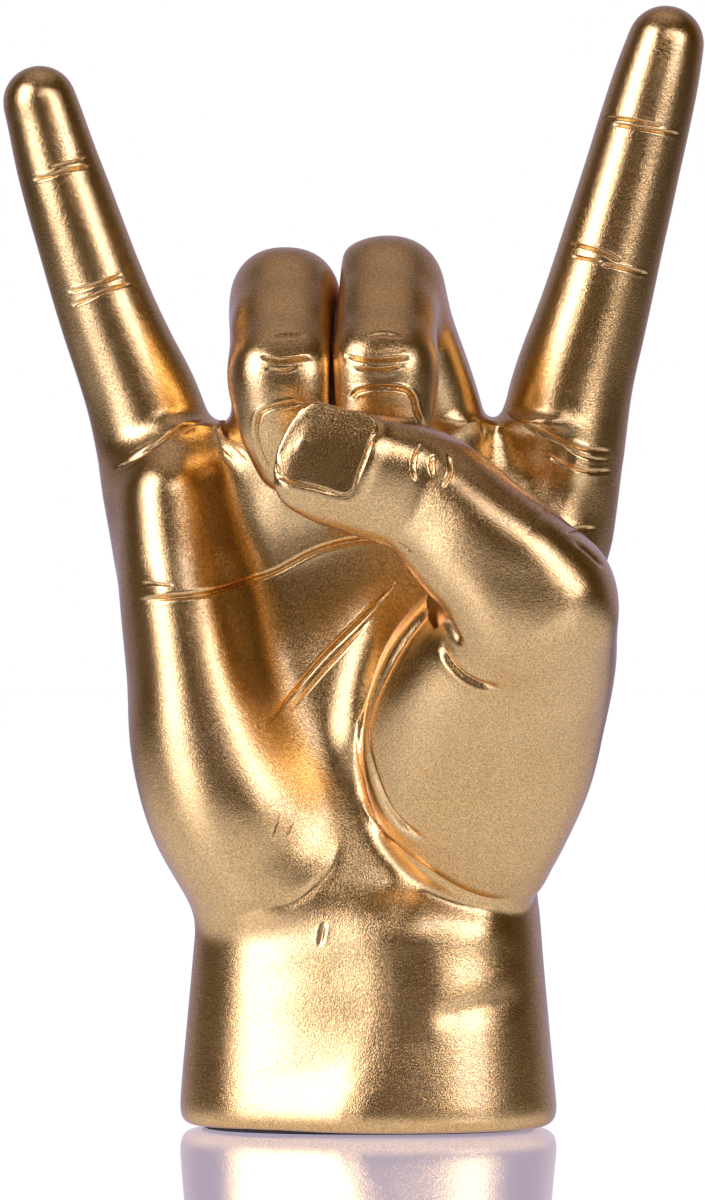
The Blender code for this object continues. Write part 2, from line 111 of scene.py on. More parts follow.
# The wrist's front lies further forward on the right than on the left, up to a crest
SLANT = 4.8
SLANT_LEVEL = -0.45  # share of the slant at its left end
SLANT_START = -20.0
SLANT_CREST = (  # height and x
    (4.0, -4.0),
    (7.0, -2.5),
    (12.0, 1.5),
    (17.0, 5.5),
    (24.0, 6.5),
    (31.0, 6.0),
    (37.0, 3.0),
)
SLANT_SHIFTS = (-6.0, -2.5, 1.5, 5.0)  # places across that soften the crest
SLANT_TOP = 45.0
SLANT_FADE = 11.0
SLANT_DEPTH = 12.0  # distance forward at which the slant is full

# Sections of the palm and wrist: height, left edge, right edge, palm face, back face
PALM_SECTIONS = (
    (-6.0, -34.0, 34.0, -24.0, 24.0),
    (2.0, -34.1, 34.1, -24.0, 24.0),
    (9.0, -33.7, 33.5, -23.4, 23.4),
    (20.0, -32.7, 32.5, -22.2, 22.2),
    (30.0, -31.8, 31.6, -21.2, 21.4),
    (38.0, -31.4, 31.0, -20.0, 20.6),
    (46.0, -33.4, 30.5, -17.5, 19.8),
    (56.0, -36.5, 33.5, -15.0, 19.0),
    (68.0, -39.5, 37.0, -13.5, 18.5),
    (82.0, -42.0, 39.5, -11.5, 18.0),
    (96.0, -43.5, 41.8, -9.5, 18.0),
    (109.0, -44.5, 43.2, -9.5, 17.5),
    (118.0, -44.0, 42.0, -9.5, 15.5),
    (123.0, -40.0, 36.0, -7.5, 12.5),
    (126.5, -25.0, 24.0, -5.0, 8.0),
    (128.0, -8.0, 8.0, 0.5, 3.5),
)

# Limbs. A station is a centre x, y, z, a half width and a half thickness.
HEEL = (
    (-35.8, -5.0, 113.0, 9.8, 11.2),
    (-33.7, -5.7, 97.0, 11.0, 12.3),
    (-31.2, -6.3, 82.0, 12.0, 13.2),
    (-28.2, -6.4, 69.0, 14.5, 14.2),
    (-24.0, -6.6, 58.0, 15.5, 14.6),
    (-20.0, -6.6, 50.5, 13.0, 12.5),
)
BALL = (
    (28.4, -38.5, 93.0, 14.5, 14.5),
    (25.0, -30.5, 86.0, 18.0, 17.0),
    (21.4, -24.5, 77.3, 20.8, 17.0),
    (19.4, -19.0, 67.0, 20.6, 16.0),
    (19.6, -13.5, 57.0, 16.4, 14.5),
    (21.6, -10.5, 50.5, 11.5, 11.5),
)
WEB = (
    (31.0, -34.5, 86.0, 10.5, 13.5),
    (33.2, -21.0, 87.0, 9.2, 15.0),
    (35.0, -6.0, 90.0, 8.5, 15.0),
)
INDEX_FINGER = (
    (31.5, 2.0, 110.0, 12.2, 11.8),
    (34.4, 1.7, 122.0, 11.8, 11.2),
    (37.0, 1.3, 134.5, 10.9, 10.3),
    (40.3, 0.8, 145.7, 10.05, 9.6),
    (42.3, 0.4, 152.9, 9.6, 9.3),
    (44.2, 0.0, 160.1, 9.2, 8.9),
    (46.2, -0.4, 167.4, 8.85, 8.5),
    (48.1, -0.8, 174.6, 8.5, 8.1),
    (50.0, -1.2, 181.8, 8.2, 7.8),
    (51.9, -1.6, 189.0, 7.75, 7.4),
    (53.6, -2.0, 195.5, 7.0, 6.8),
)
LITTLE_FINGER = (
    (-33.5, 3.0, 106.0, 11.2, 10.8),
    (-37.0, 2.7, 118.0, 11.2, 10.4),
    (-40.6, 2.3, 130.5, 10.3, 9.7),
    (-43.8, 1.8, 138.5, 9.5, 9.0),
    (-46.7, 1.4, 145.7, 9.0, 8.6),
    (-49.3, 1.0, 152.9, 8.6, 8.2),
    (-51.7, 0.6, 160.1, 8.25, 7.9),
    (-54.1, 0.3, 167.4, 7.95, 7.6),
    (-56.4, 0.0, 174.6, 7.5, 7.1),
    (-58.4, -0.4, 181.8, 6.95, 6.6),
    (-59.4, -0.7, 185.1, 6.7, 6.4),
)
MIDDLE_FINGER = (
    (13.0, 3.0, 112.0, 11.5, 11.0),
    (9.7, -2.8, 128.5, 10.8, 10.2),
    (6.2, -7.6, 140.5, 10.1, 9.8),
    (3.2, -11.5, 149.8, 9.8, 9.8),
    (2.9, -21.0, 143.9, 9.5, 9.2),
    (2.5, -29.5, 136.0, 9.2, 8.8),
    (2.5, -29.8, 128.0, 9.1, 8.1),
    (2.5, -26.5, 121.0, 8.2, 7.2),
)
RING_FINGER = (
    (-13.5, 3.0, 110.0, 11.2, 11.0),
    (-14.2, -2.8, 126.0, 10.6, 10.2),
    (-14.7, -7.4, 138.5, 9.8, 9.8),
    (-14.9, -11.0, 148.0, 9.3, 9.7),
    (-15.2, -20.3, 142.4, 9.5, 9.0),
    (-15.1, -28.6, 134.8, 9.2, 8.7),
    (-14.4, -28.8, 127.4, 8.9, 8.0),
    (-12.8, -25.6, 121.0, 7.7, 7.1),
)
THUMB = (
    (28.8, -43.0, 94.6, 13.8, 12.6),
    (24.0, -45.0, 100.4, 12.9, 11.5),
    (18.6, -45.4, 105.4, 12.1, 10.6),
    (13.6, -44.9, 110.6, 11.3, 9.9),
    (9.0, -44.4, 114.0, 11.0, 9.4),
    (1.9, -46.0, 116.4, 10.9, 8.8),
    (-5.6, -48.3, 118.1, 10.3, 7.8),
    (-10.0, -51.4, 119.2, 9.2, 4.4),
)
FLATNESS = {"middle_finger": 2.5, "ring_finger": 2.5, "thumb": 2.6}  # exponent of a limb's section
BALL_FLATNESS = 2.4
ACROSS = np.array((1.0, 0.0, 0.0))
THUMB_ACROSS = np.array((0.2, -0.2, 0.96))

# A folded finger is three bones, which share the stations at its joints
LIMBS = {
    "index_finger": (INDEX_FINGER,),
    "middle_finger": (MIDDLE_FINGER[:4], MIDDLE_FINGER[3:6], MIDDLE_FINGER[5:]),
    "ring_finger": (RING_FINGER[:4], RING_FINGER[3:6], RING_FINGER[5:]),
    "little_finger": (LITTLE_FINGER,),
    "thumb": (THUMB,),
}
FINGERS = ("index_finger", "middle_finger", "ring_finger", "little_finger")

# Seams between the pieces: a point on the limb, the way that the cut faces and its half width
SEAMS = {
    "index_finger": ((35.2, 1.6, 125.0), (0.398, 0.0, 0.917), 15.0),
    "middle_finger": ((9.8, -2.8, 128.2), (-0.20, -0.34, 0.92), 12.4),
    "ring_finger": ((-14.2, -2.8, 126.4), (-0.05, -0.34, 0.94), 12.2),
    "little_finger": ((-38.6, 2.6, 124.0), (-0.483, 0.0, 0.876), 14.5),
    "thumb": ((22.2, -45.1, 102.1), (-0.76, -0.08, 0.65), 16.0),
}
# The way that a digit's spigot and pin point, where the seam isn't square to them
PIN_WAYS = {"index_finger": (0.25, -0.048, 0.967), "little_finger": (-0.334, -0.05, 0.941)}
STUB = 6.0  # length of a digit past its seam before it is cut
SEAM_EASE = 4.0  # length over which the hand's shape gives way to the digit's own

# Fits inside the statue, as in the model
WALL = 7.0
LEDGE_WIDTH = 3.0
HOLLOW_TOP = 96.0
RECESS_TOP = 6.1
SPIGOT_RADIUS = 5.0
SPIGOT_LENGTH = 11.0
PIN_RADIUS = 1.5
PIN_TAIL = 4.0  # length of pin below the spigot
PIN_REACH = {  # length of pin past the seam
    "index_finger": 63.0,
    "middle_finger": 15.0,
    "ring_finger": 15.0,
    "little_finger": 51.0,
    "thumb": 15.0,
}
FIT = 0.15  # play round a spigot or a pin
OVERCUT = 0.5  # by which a cutter is wider than the seam
DIGIT_OVERCUT = 14.0  # length of the cutters past the stub
PALM_OVERCUT = 16.0
SPIGOT_OVERLAP = 3.0
CLEAR = 1.0  # by which a cutter starts outside
SHOULDER = 0.01  # length over which a bore narrows
ASIDE = (0.0, 1.0, 0.3)  # a way that no pin or seam follows

# The folded pair, parted by a leaning plane, and kept clear of the thumb
PAIR_SIDES = {"middle_finger": 1, "ring_finger": -1}
PAIR_PLANE = -6.3  # where they are furthest forward
PAIR_TILT = 0.09  # how far the plane leans across for each millimetre back
PAIR_FRONT = -30.0
PAIR_GAP = 0.05
THUMB_GAP = 0.12


def spline(stations, steps=LINE_STEPS):
    """The stations and, between each two, further ones on a smooth curve through them all."""
    stations = np.array(stations, dtype=float)
    first = 2 * stations[0] - stations[1]
    last = 2 * stations[-1] - stations[-2]
    padded = np.vstack((first, stations, last))
    found = []
    for a, b, c, d in zip(padded, padded[1:], padded[2:], padded[3:]):
        for t in np.arange(steps) / steps:
            cubic = (3 * b - a - 3 * c + d) * t**3
            found.append(0.5 * (2 * b + (c - a) * t + (2 * a - 5 * b + 4 * c - d) * t**2 + cubic))
    found.append(stations[-1])
    return np.array(found)


def ease(value):
    value = np.clip(value, 0, 1)
    return value * value * (3 - 2 * value)


def smooth_min(a, b, blend):
    band = np.maximum(blend - np.abs(a - b), 0) / blend
    return np.minimum(a, b) - band * band * blend * 0.25


def smooth_max(a, b, blend):
    return -smooth_min(-a, -b, blend)


class Lattice:
    """A box of evenly spaced points, whose places are shared by all the boxes."""

    def __init__(self, low, high):
        self.first = np.floor(np.array(low) / STEP).astype(int)
        last = np.ceil(np.array(high) / STEP).astype(int)
        self.shape = tuple(last - self.first + 1)
        places = zip(self.first, self.shape)
        self.axes = [(np.arange(count) + start).astype(np.float32) * STEP for start, count in places]

    def window(self, low, high):
        """The slices of the box between two corners, and the coordinates there."""
        slices = []
        for axis, start, end in zip(self.axes, low, high):
            begin = int(np.searchsorted(axis, start))
            finish = int(np.searchsorted(axis, end, side="right"))
            slices.append(slice(begin, max(finish, begin)))
        x, y, z = (axis[part] for axis, part in zip(self.axes, slices))
        return tuple(slices), x[:, None, None], y[None, :, None], z[None, None, :]


def project(offsets, way):
    """How far along a way the offsets reach."""
    return sum(offset * part for offset, part in zip(offsets, way))


def limb_distance(x, y, z, line, across, flatness):
    """Distance to a limb: a chain of cones with round ends and rounded sections."""
    best = None
    for start, end in zip(line, line[1:]):
        span = end[:3] - start[:3]
        length = np.linalg.norm(span)
        along = span / length
        side = across - across.dot(along) * along
        side /= np.linalg.norm(side)
        offsets = x - start[0], y - start[1], z - start[2]
        run = project(offsets, along)
        t = np.clip(run / length, 0, 1)
        width = start[3] + (end[3] - start[3]) * t
        thickness = start[4] + (end[4] - start[4]) * t
        a = np.abs(project(offsets, side) / width) + OFF_MIDDLE
        b = np.abs(project(offsets, np.cross(along, side)) / thickness) + OFF_MIDDLE
        c = (run - t * length) / (0.5 * (width + thickness))
        ring = (a**flatness + b**flatness) ** (1 / flatness)
        radius = np.sqrt(ring * ring + c * c)
        gain = ring ** (2 - flatness)
        slope_a = a ** (flatness - 1) * gain / width
        slope_b = b ** (flatness - 1) * gain / thickness
        slope = np.sqrt(slope_a**2 + slope_b**2 + (2 * c / (width + thickness)) ** 2)
        distance = (radius - 1) * radius / slope
        best = distance if best is None else np.minimum(best, distance)
    return best.astype(np.float32)


def add_limb(field, lattice, line, across, blend, flatness=2.0):
    """Melts a limb into a field."""
    reach = line[:, 3:].max() + MARGIN + blend
    low, high = line[:, :3].min(axis=0) - reach, line[:, :3].max(axis=0) + reach
    window, x, y, z = lattice.window(low, high)
    if field[window].size:
        field[window] = smooth_min(field[window], limb_distance(x, y, z, line, across, flatness), blend)


PALM_LINE = spline(PALM_SECTIONS, PALM_STEPS)


def palm_edges(height):
    """The left, right, palm and back edges of the palm's section at a height, or at several."""
    return (np.interp(height, PALM_LINE[:, 0], PALM_LINE[:, i]) for i in range(1, 5))


def palm_distance(lattice):
    """Distance to the stack of palm sections, with the slant of the wrist's front."""
    x, y, z = lattice.axes
    left, right, front, back = palm_edges(z)
    half_width, half_depth = (right - left) / 2, (back - front) / 2
    a = np.abs((x[:, None, None] - (left + right) / 2) / half_width)
    crest = np.interp(z, *np.array(SLANT_CREST).T)
    rise = SLANT_LEVEL
    for shift in SLANT_SHIFTS:
        part = np.clip((x[:, None] + shift - SLANT_START) / (crest - SLANT_START), 0, 1)
        rise = rise + part**2 / len(SLANT_SHIFTS)
    rise = rise[:, None, :] * ease(-y / SLANT_DEPTH)[None, :, None] * ease((SLANT_TOP - z) / SLANT_FADE)
    b = np.abs((y[None, :, None] + SLANT * rise - (front + back) / 2) / half_depth)
    radius = (a**SQUARENESS + b**SQUARENESS) ** (1 / SQUARENESS)
    slope = np.sqrt(sum(part * part for part in np.gradient(radius, STEP))) + TINY
    distance = np.clip((radius - 1) / slope, -FAR, FAR)
    return np.maximum(distance, z[None, None, :] - PALM_LINE[-1, 0]).astype(np.float32)


def seam_of(name):
    """A digit's seam as a point and a unit vector into the digit."""
    point, along, reach = SEAMS[name]
    along = np.array(along)
    return np.array(point), along / np.linalg.norm(along), reach


def pin_way(name):
    """The unit vector along a digit's pin."""
    along = np.array(PIN_WAYS.get(name, SEAMS[name][1]))
    return along / np.linalg.norm(along)


def across_of(name):
    return THUMB_ACROSS if name == "thumb" else ACROSS


def root_of(name):
    """The first part of a digit, to a little past its seam."""
    line = spline(LIMBS[name][0])
    point, along, _ = seam_of(name)
    return line[(line[:, :3] - point) @ along < STUB / 2]


def hand_distance(lattice):
    """Distance to the hand with the roots of its digits."""
    field = palm_distance(lattice)
    add_limb(field, lattice, spline(HEEL), ACROSS, HEEL_BLEND)
    ball = np.full(lattice.shape, FAR, np.float32)
    add_limb(ball, lattice, spline(BALL), ACROSS, THUMB_BLEND, BALL_FLATNESS)
    add_limb(ball, lattice, root_of("thumb"), THUMB_ACROSS, THUMB_BLEND, FLATNESS["thumb"])
    field = smooth_min(field, ball, BALL_BLEND)
    add_limb(field, lattice, spline(WEB), ACROSS, THUMB_BLEND)
    roots = np.full(lattice.shape, FAR, np.float32)
    for name in FINGERS:
        add_limb(roots, lattice, root_of(name), ACROSS, ROOT_BLEND, FLATNESS.get(name, 2.0))
    field = smooth_min(field, roots, WEB_BLEND)
    return smooth_max(field, RIM_HEIGHT - lattice.axes[2][None, None, :], RIM_ROUND)


def own_distance(name, lattice):
    """Distance to a digit alone."""
    field = np.full(lattice.shape, FAR, np.float32)
    for bone in LIMBS[name]:
        add_limb(field, lattice, spline(bone), across_of(name), KNUCKLE_BLEND, FLATNESS.get(name, 2.0))
    return field


def digit_lattice(name):
    stations = np.vstack(LIMBS[name])
    reach = stations[:, 3:].max(axis=1)[:, None] + MARGIN
    return Lattice((stations[:, :3] - reach).min(axis=0), (stations[:, :3] + reach).max(axis=0))


def digit_distance(name, lattice):
    """Distance to a digit, which has the hand's own surface up to its seam and a stub before it."""
    x, y, z = lattice.axes
    point, along, reach = seam_of(name)
    offsets = x[:, None, None] - point[0], y[None, :, None] - point[1], z[None, None, :] - point[2]
    run = project(offsets, along)
    near = project(offsets, offsets) - run * run < (reach + CLEAR) ** 2
    own = own_distance(name, lattice)
    hand = hand_distance(lattice)
    weight = ease(run / SEAM_EASE)
    field = np.where(near & (run < SEAM_EASE), hand + weight * (own - hand), own)
    return np.where(near & (run < 0), np.maximum(field, -STUB - run), field)


def soften(field, rounds):
    """Takes the finest kinks out of a field."""
    field = field.astype(np.float32)
    for _ in range(rounds):
        for axis in range(3):
            pair = field + np.roll(field, 1, axis=axis)
            pair *= 0.5
            field = pair + np.roll(pair, -1, axis=axis)
            field *= 0.5
    return field


def sample(grids, lattice, points):
    """The values of several grids at points between their lattice points."""
    place = points / STEP - lattice.first
    low = np.clip(np.floor(place).astype(int), 0, np.array(lattice.shape) - 2)
    part = place - low
    found = [np.zeros(len(points)) for grid in grids]
    for corner in np.ndindex(2, 2, 2):
        weight = np.prod([part[:, i] if corner[i] else 1 - part[:, i] for i in range(3)], axis=0)
        index = tuple(low[:, i] + corner[i] for i in range(3))
        for value, grid in zip(found, grids):
            value += weight * grid[index]
    return found


# The cells round an edge that leaves the form, in their order round the face, and round one that enters it
LEAVING = ((1, 1), (0, 1), (0, 0), (1, 0))
ENTERING = ((1, 1), (1, 0), (0, 0), (0, 1))


def net(field, lattice):
    """The zero surface of a field as points and quads: one point in each lattice cell that it crosses."""
    inside = field < 0
    corners = list(np.ndindex(2, 2, 2))
    cuts = [slice(None, -1), slice(1, None)]
    count = sum(inside[cuts[i], cuts[j], cuts[k]].astype(np.int8) for i, j, k in corners)
    cells = np.argwhere((count > 0) & (count < 8))
    number = np.full(count.shape, -1, dtype=np.int64)
    number[tuple(cells.T)] = np.arange(len(cells))
    total = np.zeros((len(cells), 3))
    crossings = np.zeros(len(cells))
    for start in corners:
        for axis in range(3):
            if start[axis]:
                continue
            end = tuple(1 if i == axis else start[i] for i in range(3))
            low = field[tuple((cells + start).T)].astype(float)
            high = field[tuple((cells + end).T)].astype(float)
            cross = (low < 0) != (high < 0)
            t = np.where(cross, low / np.where(cross, low - high, 1), 0)
            place = np.array(start) + t[:, None] * (np.array(end) - np.array(start))
            total += place * cross[:, None]
            crossings += cross
    points = (cells + total / crossings[:, None] + lattice.first) * STEP
    quads = []
    for axis in range(3):
        b, c = (axis + 1) % 3, (axis + 2) % 3
        low = [slice(None)] * 3
        high = [slice(None)] * 3
        low[axis], high[axis] = slice(None, -1), slice(1, None)
        for other in (b, c):
            low[other] = high[other] = slice(1, -1)
        leaves = inside[tuple(low)] & ~inside[tuple(high)]
        enters = ~inside[tuple(low)] & inside[tuple(high)]
        for mask, order in ((leaves, LEAVING), (enters, ENTERING)):
            edges = np.argwhere(mask)
            edges[:, b] += 1
            edges[:, c] += 1
            corner_numbers = []
            for step_b, step_c in order:
                cell = edges.copy()
                cell[:, b] -= step_b
                cell[:, c] -= step_c
                corner_numbers.append(number[tuple(cell.T)])
            quads.append(np.stack(corner_numbers, axis=1))
    return points, np.concatenate(quads)


def look(points, grids, lattice):
    """A field's values and slopes at points. The grids are the field and its gradients."""
    value, *slope = sample(grids, lattice, points)
    return value, np.stack(slope, axis=1)


def pull(points, grids, lattice, limit):
    """Moves points to a field's zero surface, along each axis by no more than a limit."""
    value, slope = look(points, grids, lattice)
    step = value[:, None] * slope / np.maximum((slope * slope).sum(axis=1), LEAST_SLOPE)[:, None]
    return points - np.clip(step, -limit, limit)


def settle(points, quads, grids, lattice):
    """Spreads the points of a net evenly and sets them exactly on the field's zero surface."""
    starts = quads.ravel()
    ends = np.roll(quads, -1, axis=1).ravel()
    from_all, to_all = np.concatenate((starts, ends)), np.concatenate((ends, starts))
    degree = np.bincount(from_all, minlength=len(points))
    for _ in range(SETTLING):
        sums = [np.bincount(from_all, weights=points[to_all, i], minlength=len(points)) for i in range(3)]
        middle = np.stack([total / degree for total in sums], axis=1)
        points = points + 0.5 * (middle - points)
        for _ in range(2):
            points = pull(points, grids, lattice, STEP / 2)
    return points


def add_object(name, data):
    thing = bpy.data.objects.new(name, data)
    bpy.context.scene.collection.objects.link(thing)
    return thing


@contextmanager
def editing(mesh):
    """A BMesh of the mesh, which goes back into it."""
    bm = bmesh.new()
    bm.from_mesh(mesh)
    yield bm
    bm.to_mesh(mesh)
    bm.free()


def make_mesh(name, points, faces):
    """A mesh from points in millimetres and quads."""
    mesh = bpy.data.meshes.new(name)
    mesh.vertices.add(len(points))
    mesh.vertices.foreach_set("co", (points * MM).astype(np.float32).ravel())
    mesh.loops.add(faces.size)
    mesh.loops.foreach_set("vertex_index", faces.astype(np.int32).ravel())
    mesh.polygons.add(len(faces))
    mesh.polygons.foreach_set("loop_start", np.arange(0, faces.size, faces.shape[1], dtype=np.int32))
    mesh.update(calc_edges=True)
    mesh.validate()
    return mesh


def to_pixels(points):
    """Where points lie in the photograph, and how many millimetres a pixel spans there."""
    scale = (CAMERA_DISTANCE + points[:, 1]) / FOCAL_PIXELS
    across = IMAGE_WIDTH / 2 + (points[:, 0] - CAMERA_X) / scale
    down = IMAGE_HEIGHT / 2 - (points[:, 2] - CAMERA_Z) / scale
    return np.stack((across, down), axis=1), scale


def line_distance(places, line):
    """Distance from places to a smooth line, and how far along it the nearest point is, from 0 to 1."""
    fine = spline(line) if len(line) > 2 else line
    lengths = np.linalg.norm(np.diff(fine, axis=0), axis=1)
    run = np.concatenate(([0], np.cumsum(lengths)))
    best = np.full(len(places), np.inf)
    along = np.zeros(len(places))
    for i, (start, end) in enumerate(zip(fine, fine[1:])):
        span = end - start
        t = np.clip(((places - start) @ span) / max(span @ span, TINY), 0, 1)
        distance = np.linalg.norm(places - start - t[:, None] * span, axis=1)
        nearer = distance < best
        best[nearer] = distance[nearer]
        along[nearer] = (run[i] + t[nearer] * lengths[i]) / run[-1]
    return best, along


def line_side(places, line):
    """On which side of a line each place lies: 1 on the right as the line runs, in a picture or a plan."""
    fine = spline(line)
    nearest = np.full(len(places), np.inf)
    side = np.zeros(len(places))
    for middle, span in zip((fine[1:] + fine[:-1]) / 2, np.diff(fine, axis=0)):
        offset = places - middle
        distance = (offset * offset).sum(axis=1)
        nearer = distance < nearest
        nearest[nearer] = distance[nearer]
        side[nearer] = np.sign(span[0] * offset[nearer, 1] - span[1] * offset[nearer, 0])
    return side


class Stroke:
    """A fold or a ridge pressed along a line. Positive depth goes in, a lip swells on both sides, and a
    step lifts the side on the right of the line and dies away over its own length."""

    def __init__(self, line, width, depth, lip=0.0, taper=0.15, step=0.0, run=5.0, back=False):
        self.line = np.array(line, dtype=float)
        self.width = width
        self.depth = depth
        self.lip = lip
        self.taper = taper
        self.step = step
        self.run = run
        self.back = back
        self.reach = max(STROKE_REACH * width, STEP_REACH * run if step else 0)
        self.span = self.reach  # how far it moves points

    def places(self, points):
        """Where the points lie beside the line, and how many millimetres a unit spans there."""
        if self.back:
            return points[:, (0, 2)], np.ones(len(points))
        return to_pixels(points)

    def near(self, points, reach):
        """The points within reach of the box round the line."""
        places, scale = self.places(points)
        reach = (reach / scale)[:, None]
        low, high = self.line.min(axis=0), self.line.max(axis=0)
        return np.nonzero(((places > low - reach) & (places < high + reach)).all(axis=1))[0]

    def distance(self, points):
        """Distance to the stroke in millimetres, and how far along it the nearest point is."""
        places, scale = self.places(points)
        distance, along = line_distance(places, self.line)
        return distance * scale, along

    def facing(self, normals):
        """How fully the stroke presses a surface: 0 where it faces away and 1 where it faces the line."""
        return ease(normals[:, 1] * (1 if self.back else -1) / FULLY_FACING)

    def lift(self, points, normals):
        """How far each point moves along its normal."""
        moved = np.zeros(len(points))
        index = self.near(points, self.span)
        if len(index):
            moved[index] = self.shape(points[index], normals[index]) * self.facing(normals[index])
        return moved

    def shape(self, points, normals):
        """The height of the stroke's section at points near it."""
        distance, along = self.distance(points)
        shape = 0.0
        if self.step:
            side = line_side(self.places(points)[0], self.line)
            fade = np.exp(-((distance / self.run) ** 2))
            shape = self.step * ease(0.5 + side * distance / EDGE_WIDTH) * fade
        distance = distance / self.width
        power = 2.0 if self.width > WIDE else SHARPNESS
        shape = shape - self.depth * np.exp(-(distance**power))
        shape += self.lip * np.exp(-((distance - LIP_PLACE) / LIP_WIDTH) ** 2)
        return shape * (ease(np.minimum(along, 1 - along) / self.taper) if self.taper else 1.0)


class Plate(Stroke):
    """A nail: a plate inside a closed outline, with a groove round it and a fold of skin outside that. It
    follows the skin, or a plane given as a point and the way that it faces."""

    def __init__(self, outline, rise, groove, fold, width, plane=None, back=False):
        super().__init__((*outline, outline[0]), width, groove, back=back)
        self.span = NAIL_REACH
        self.rise = rise
        self.fold = fold
        self.plane = plane

    def shape(self, points, normals):
        spots = self.places(points)[0]
        distance = self.distance(points)[0]
        inside = np.zeros(len(points), dtype=bool)
        for start, end in zip(self.line, self.line[1:]):
            crosses = (start[1] > spots[:, 1]) != (end[1] > spots[:, 1])
            with np.errstate(divide="ignore", invalid="ignore"):
                side = (end[0] - start[0]) * (spots[:, 1] - start[1]) / (end[1] - start[1]) + start[0]
            inside ^= crosses & (spots[:, 0] < side)
        signed = np.where(inside, -distance, distance)
        shape = self.rise * ease(0.5 - signed / EDGE_WIDTH)
        shape -= self.depth * np.exp(-(signed / self.width) ** 2)
        shape += self.fold * np.exp(-((signed - SKIN_PLACE) / SKIN_WIDTH) ** 2)
        if self.plane:
            centre, plane = (np.array(part) for part in self.plane)
            plane = plane / np.linalg.norm(plane)
            off = (centre - points) @ plane / np.maximum(normals @ plane, LEAST_FACING)
            shape += PLANE_SHARE * np.clip(off, *PLANE_LIMITS) * ease(0.5 - signed / PLANE_FADE)
        return shape


NAIL_OUTLINE = (
    (-0.5, -0.2), (-0.42, -0.42), (-0.2, -0.5), (0.2, -0.5), (0.42, -0.42), (0.5, -0.2),
    (0.5, 0.3), (0.4, 0.48), (0.0, 0.54), (-0.4, 0.48), (-0.5, 0.3),
)


def nail(centre, way, width, length):
    """The outline of a nail on the back: squarer at its free edge than at its root."""
    way = np.array(way) / np.linalg.norm(way)
    side = np.array((way[1], -way[0]))
    return [tuple(np.array(centre) + side * a * width + way * b * length) for a, b in NAIL_OUTLINE]


def wrinkles(centre, way, width, gaps, depth=0.22):
    """Short folds across the back of a finger's joint, a little bowed and shorter away from its middle."""
    way = np.array(way) / np.linalg.norm(way)
    side = np.array((way[1], -way[0]))
    found = []
    for gap in gaps:
        middle = np.array(centre) + way * gap
        half = side * (width * (0.5 - 0.05 * abs(gap)))
        bow = way * 0.12 * gap
        line = (middle - half, middle - half * 0.4 + bow, middle + half * 0.4 + bow, middle + half)
        found.append(Stroke(line, 0.35, depth, 0.05, 0.3, back=True))
    return found


def marks(*rows, back=False):
    """Strokes from their lines, half widths, depths, heights of the lips and shares of the line that fade
    out, and for two of them a step and its run. The lines are in the photograph's pixels, and on the back of
    the hand in millimetres across and up."""
    return tuple(Stroke(*row, back=back) for row in rows)


# Pads under the fingers, the hollow of the palm and the band of skin beside the thumb's ball
PALM_PADS = marks(
    (((250, 505), (310, 500), (360, 490)), 5.0, -1.2, 0, 0.4),
    (((470, 430), (520, 470), (570, 510)), 5.0, 1.6, 0, 0.4),
    (((556, 462), (585, 462), (605, 462)), 3.5, -0.7, 0, 0.4),
    (((400, 590), (370, 650), (355, 720), (350, 790)), 3.6, -1.3, 0, 0.3),
)
# The line under the pads with the short one above its left end, and the oblique double line
PALM_LINES = marks(
    (((385, 538), (350, 541), (315, 551), (276, 571), (243, 582), (202, 594), (137, 600)),
     0.4, 0.55, 0.06, 0.12, 0.9, 5.0),
    (((139, 583), (158, 584), (178, 586)), 0.25, 0.25, 0.03, 0.3),
    (((404, 574), (366, 614), (325, 655), (290, 696), (266, 726)), 0.3, 0.45, 0.05, 0.25, 0.35, 3.0),
    (((372, 618), (345, 648), (313, 684), (288, 715)), 0.25, 0.35, 0.03, 0.25),
)
# The line round the ball of the thumb, and the fold outside it
BALL_LINES = marks(
    (((437, 597), (406, 637), (384, 678), (372, 711), (368, 737),
      (371, 766), (384, 801), (402, 825), (430, 843)), 0.5, 0.9, 0.12, 0.12),
    (((361, 786), (365, 809), (382, 833), (406, 855), (435, 874),
      (463, 889), (490, 897), (522, 899)), 0.5, 0.45, 0.03, 0.25),
)
# The lower edges of the heel of the hand and of the ball, and a nick under them
HEEL_EDGES = marks(
    (((215, 921), (235, 917), (260, 909), (288, 904), (309, 891), (330, 868), (340, 842), (345, 818)),
     1.1, 0.45, 0.0, 0.35),
    (((385, 885), (430, 903), (480, 914), (525, 912)), 4.5, -1.0, 0, 0.3),
    (((325, 920), (322, 934), (319, 948)), 0.4, 0.25, 0.05, 0.4),
)
WRIST_RIPPLES = marks(
    (((425, 1024), (462, 1012), (500, 1003), (530, 998)), 2.4, 0.4, 0, 0.3),
    (((235, 985), (300, 975), (370, 985)), 3.0, 0.16, 0, 0.3),
    (((250, 1040), (320, 1050), (390, 1036)), 3.0, -0.16, 0, 0.3),
    (((240, 1086), (300, 1078), (360, 1090)), 2.6, 0.12, 0, 0.3),
)
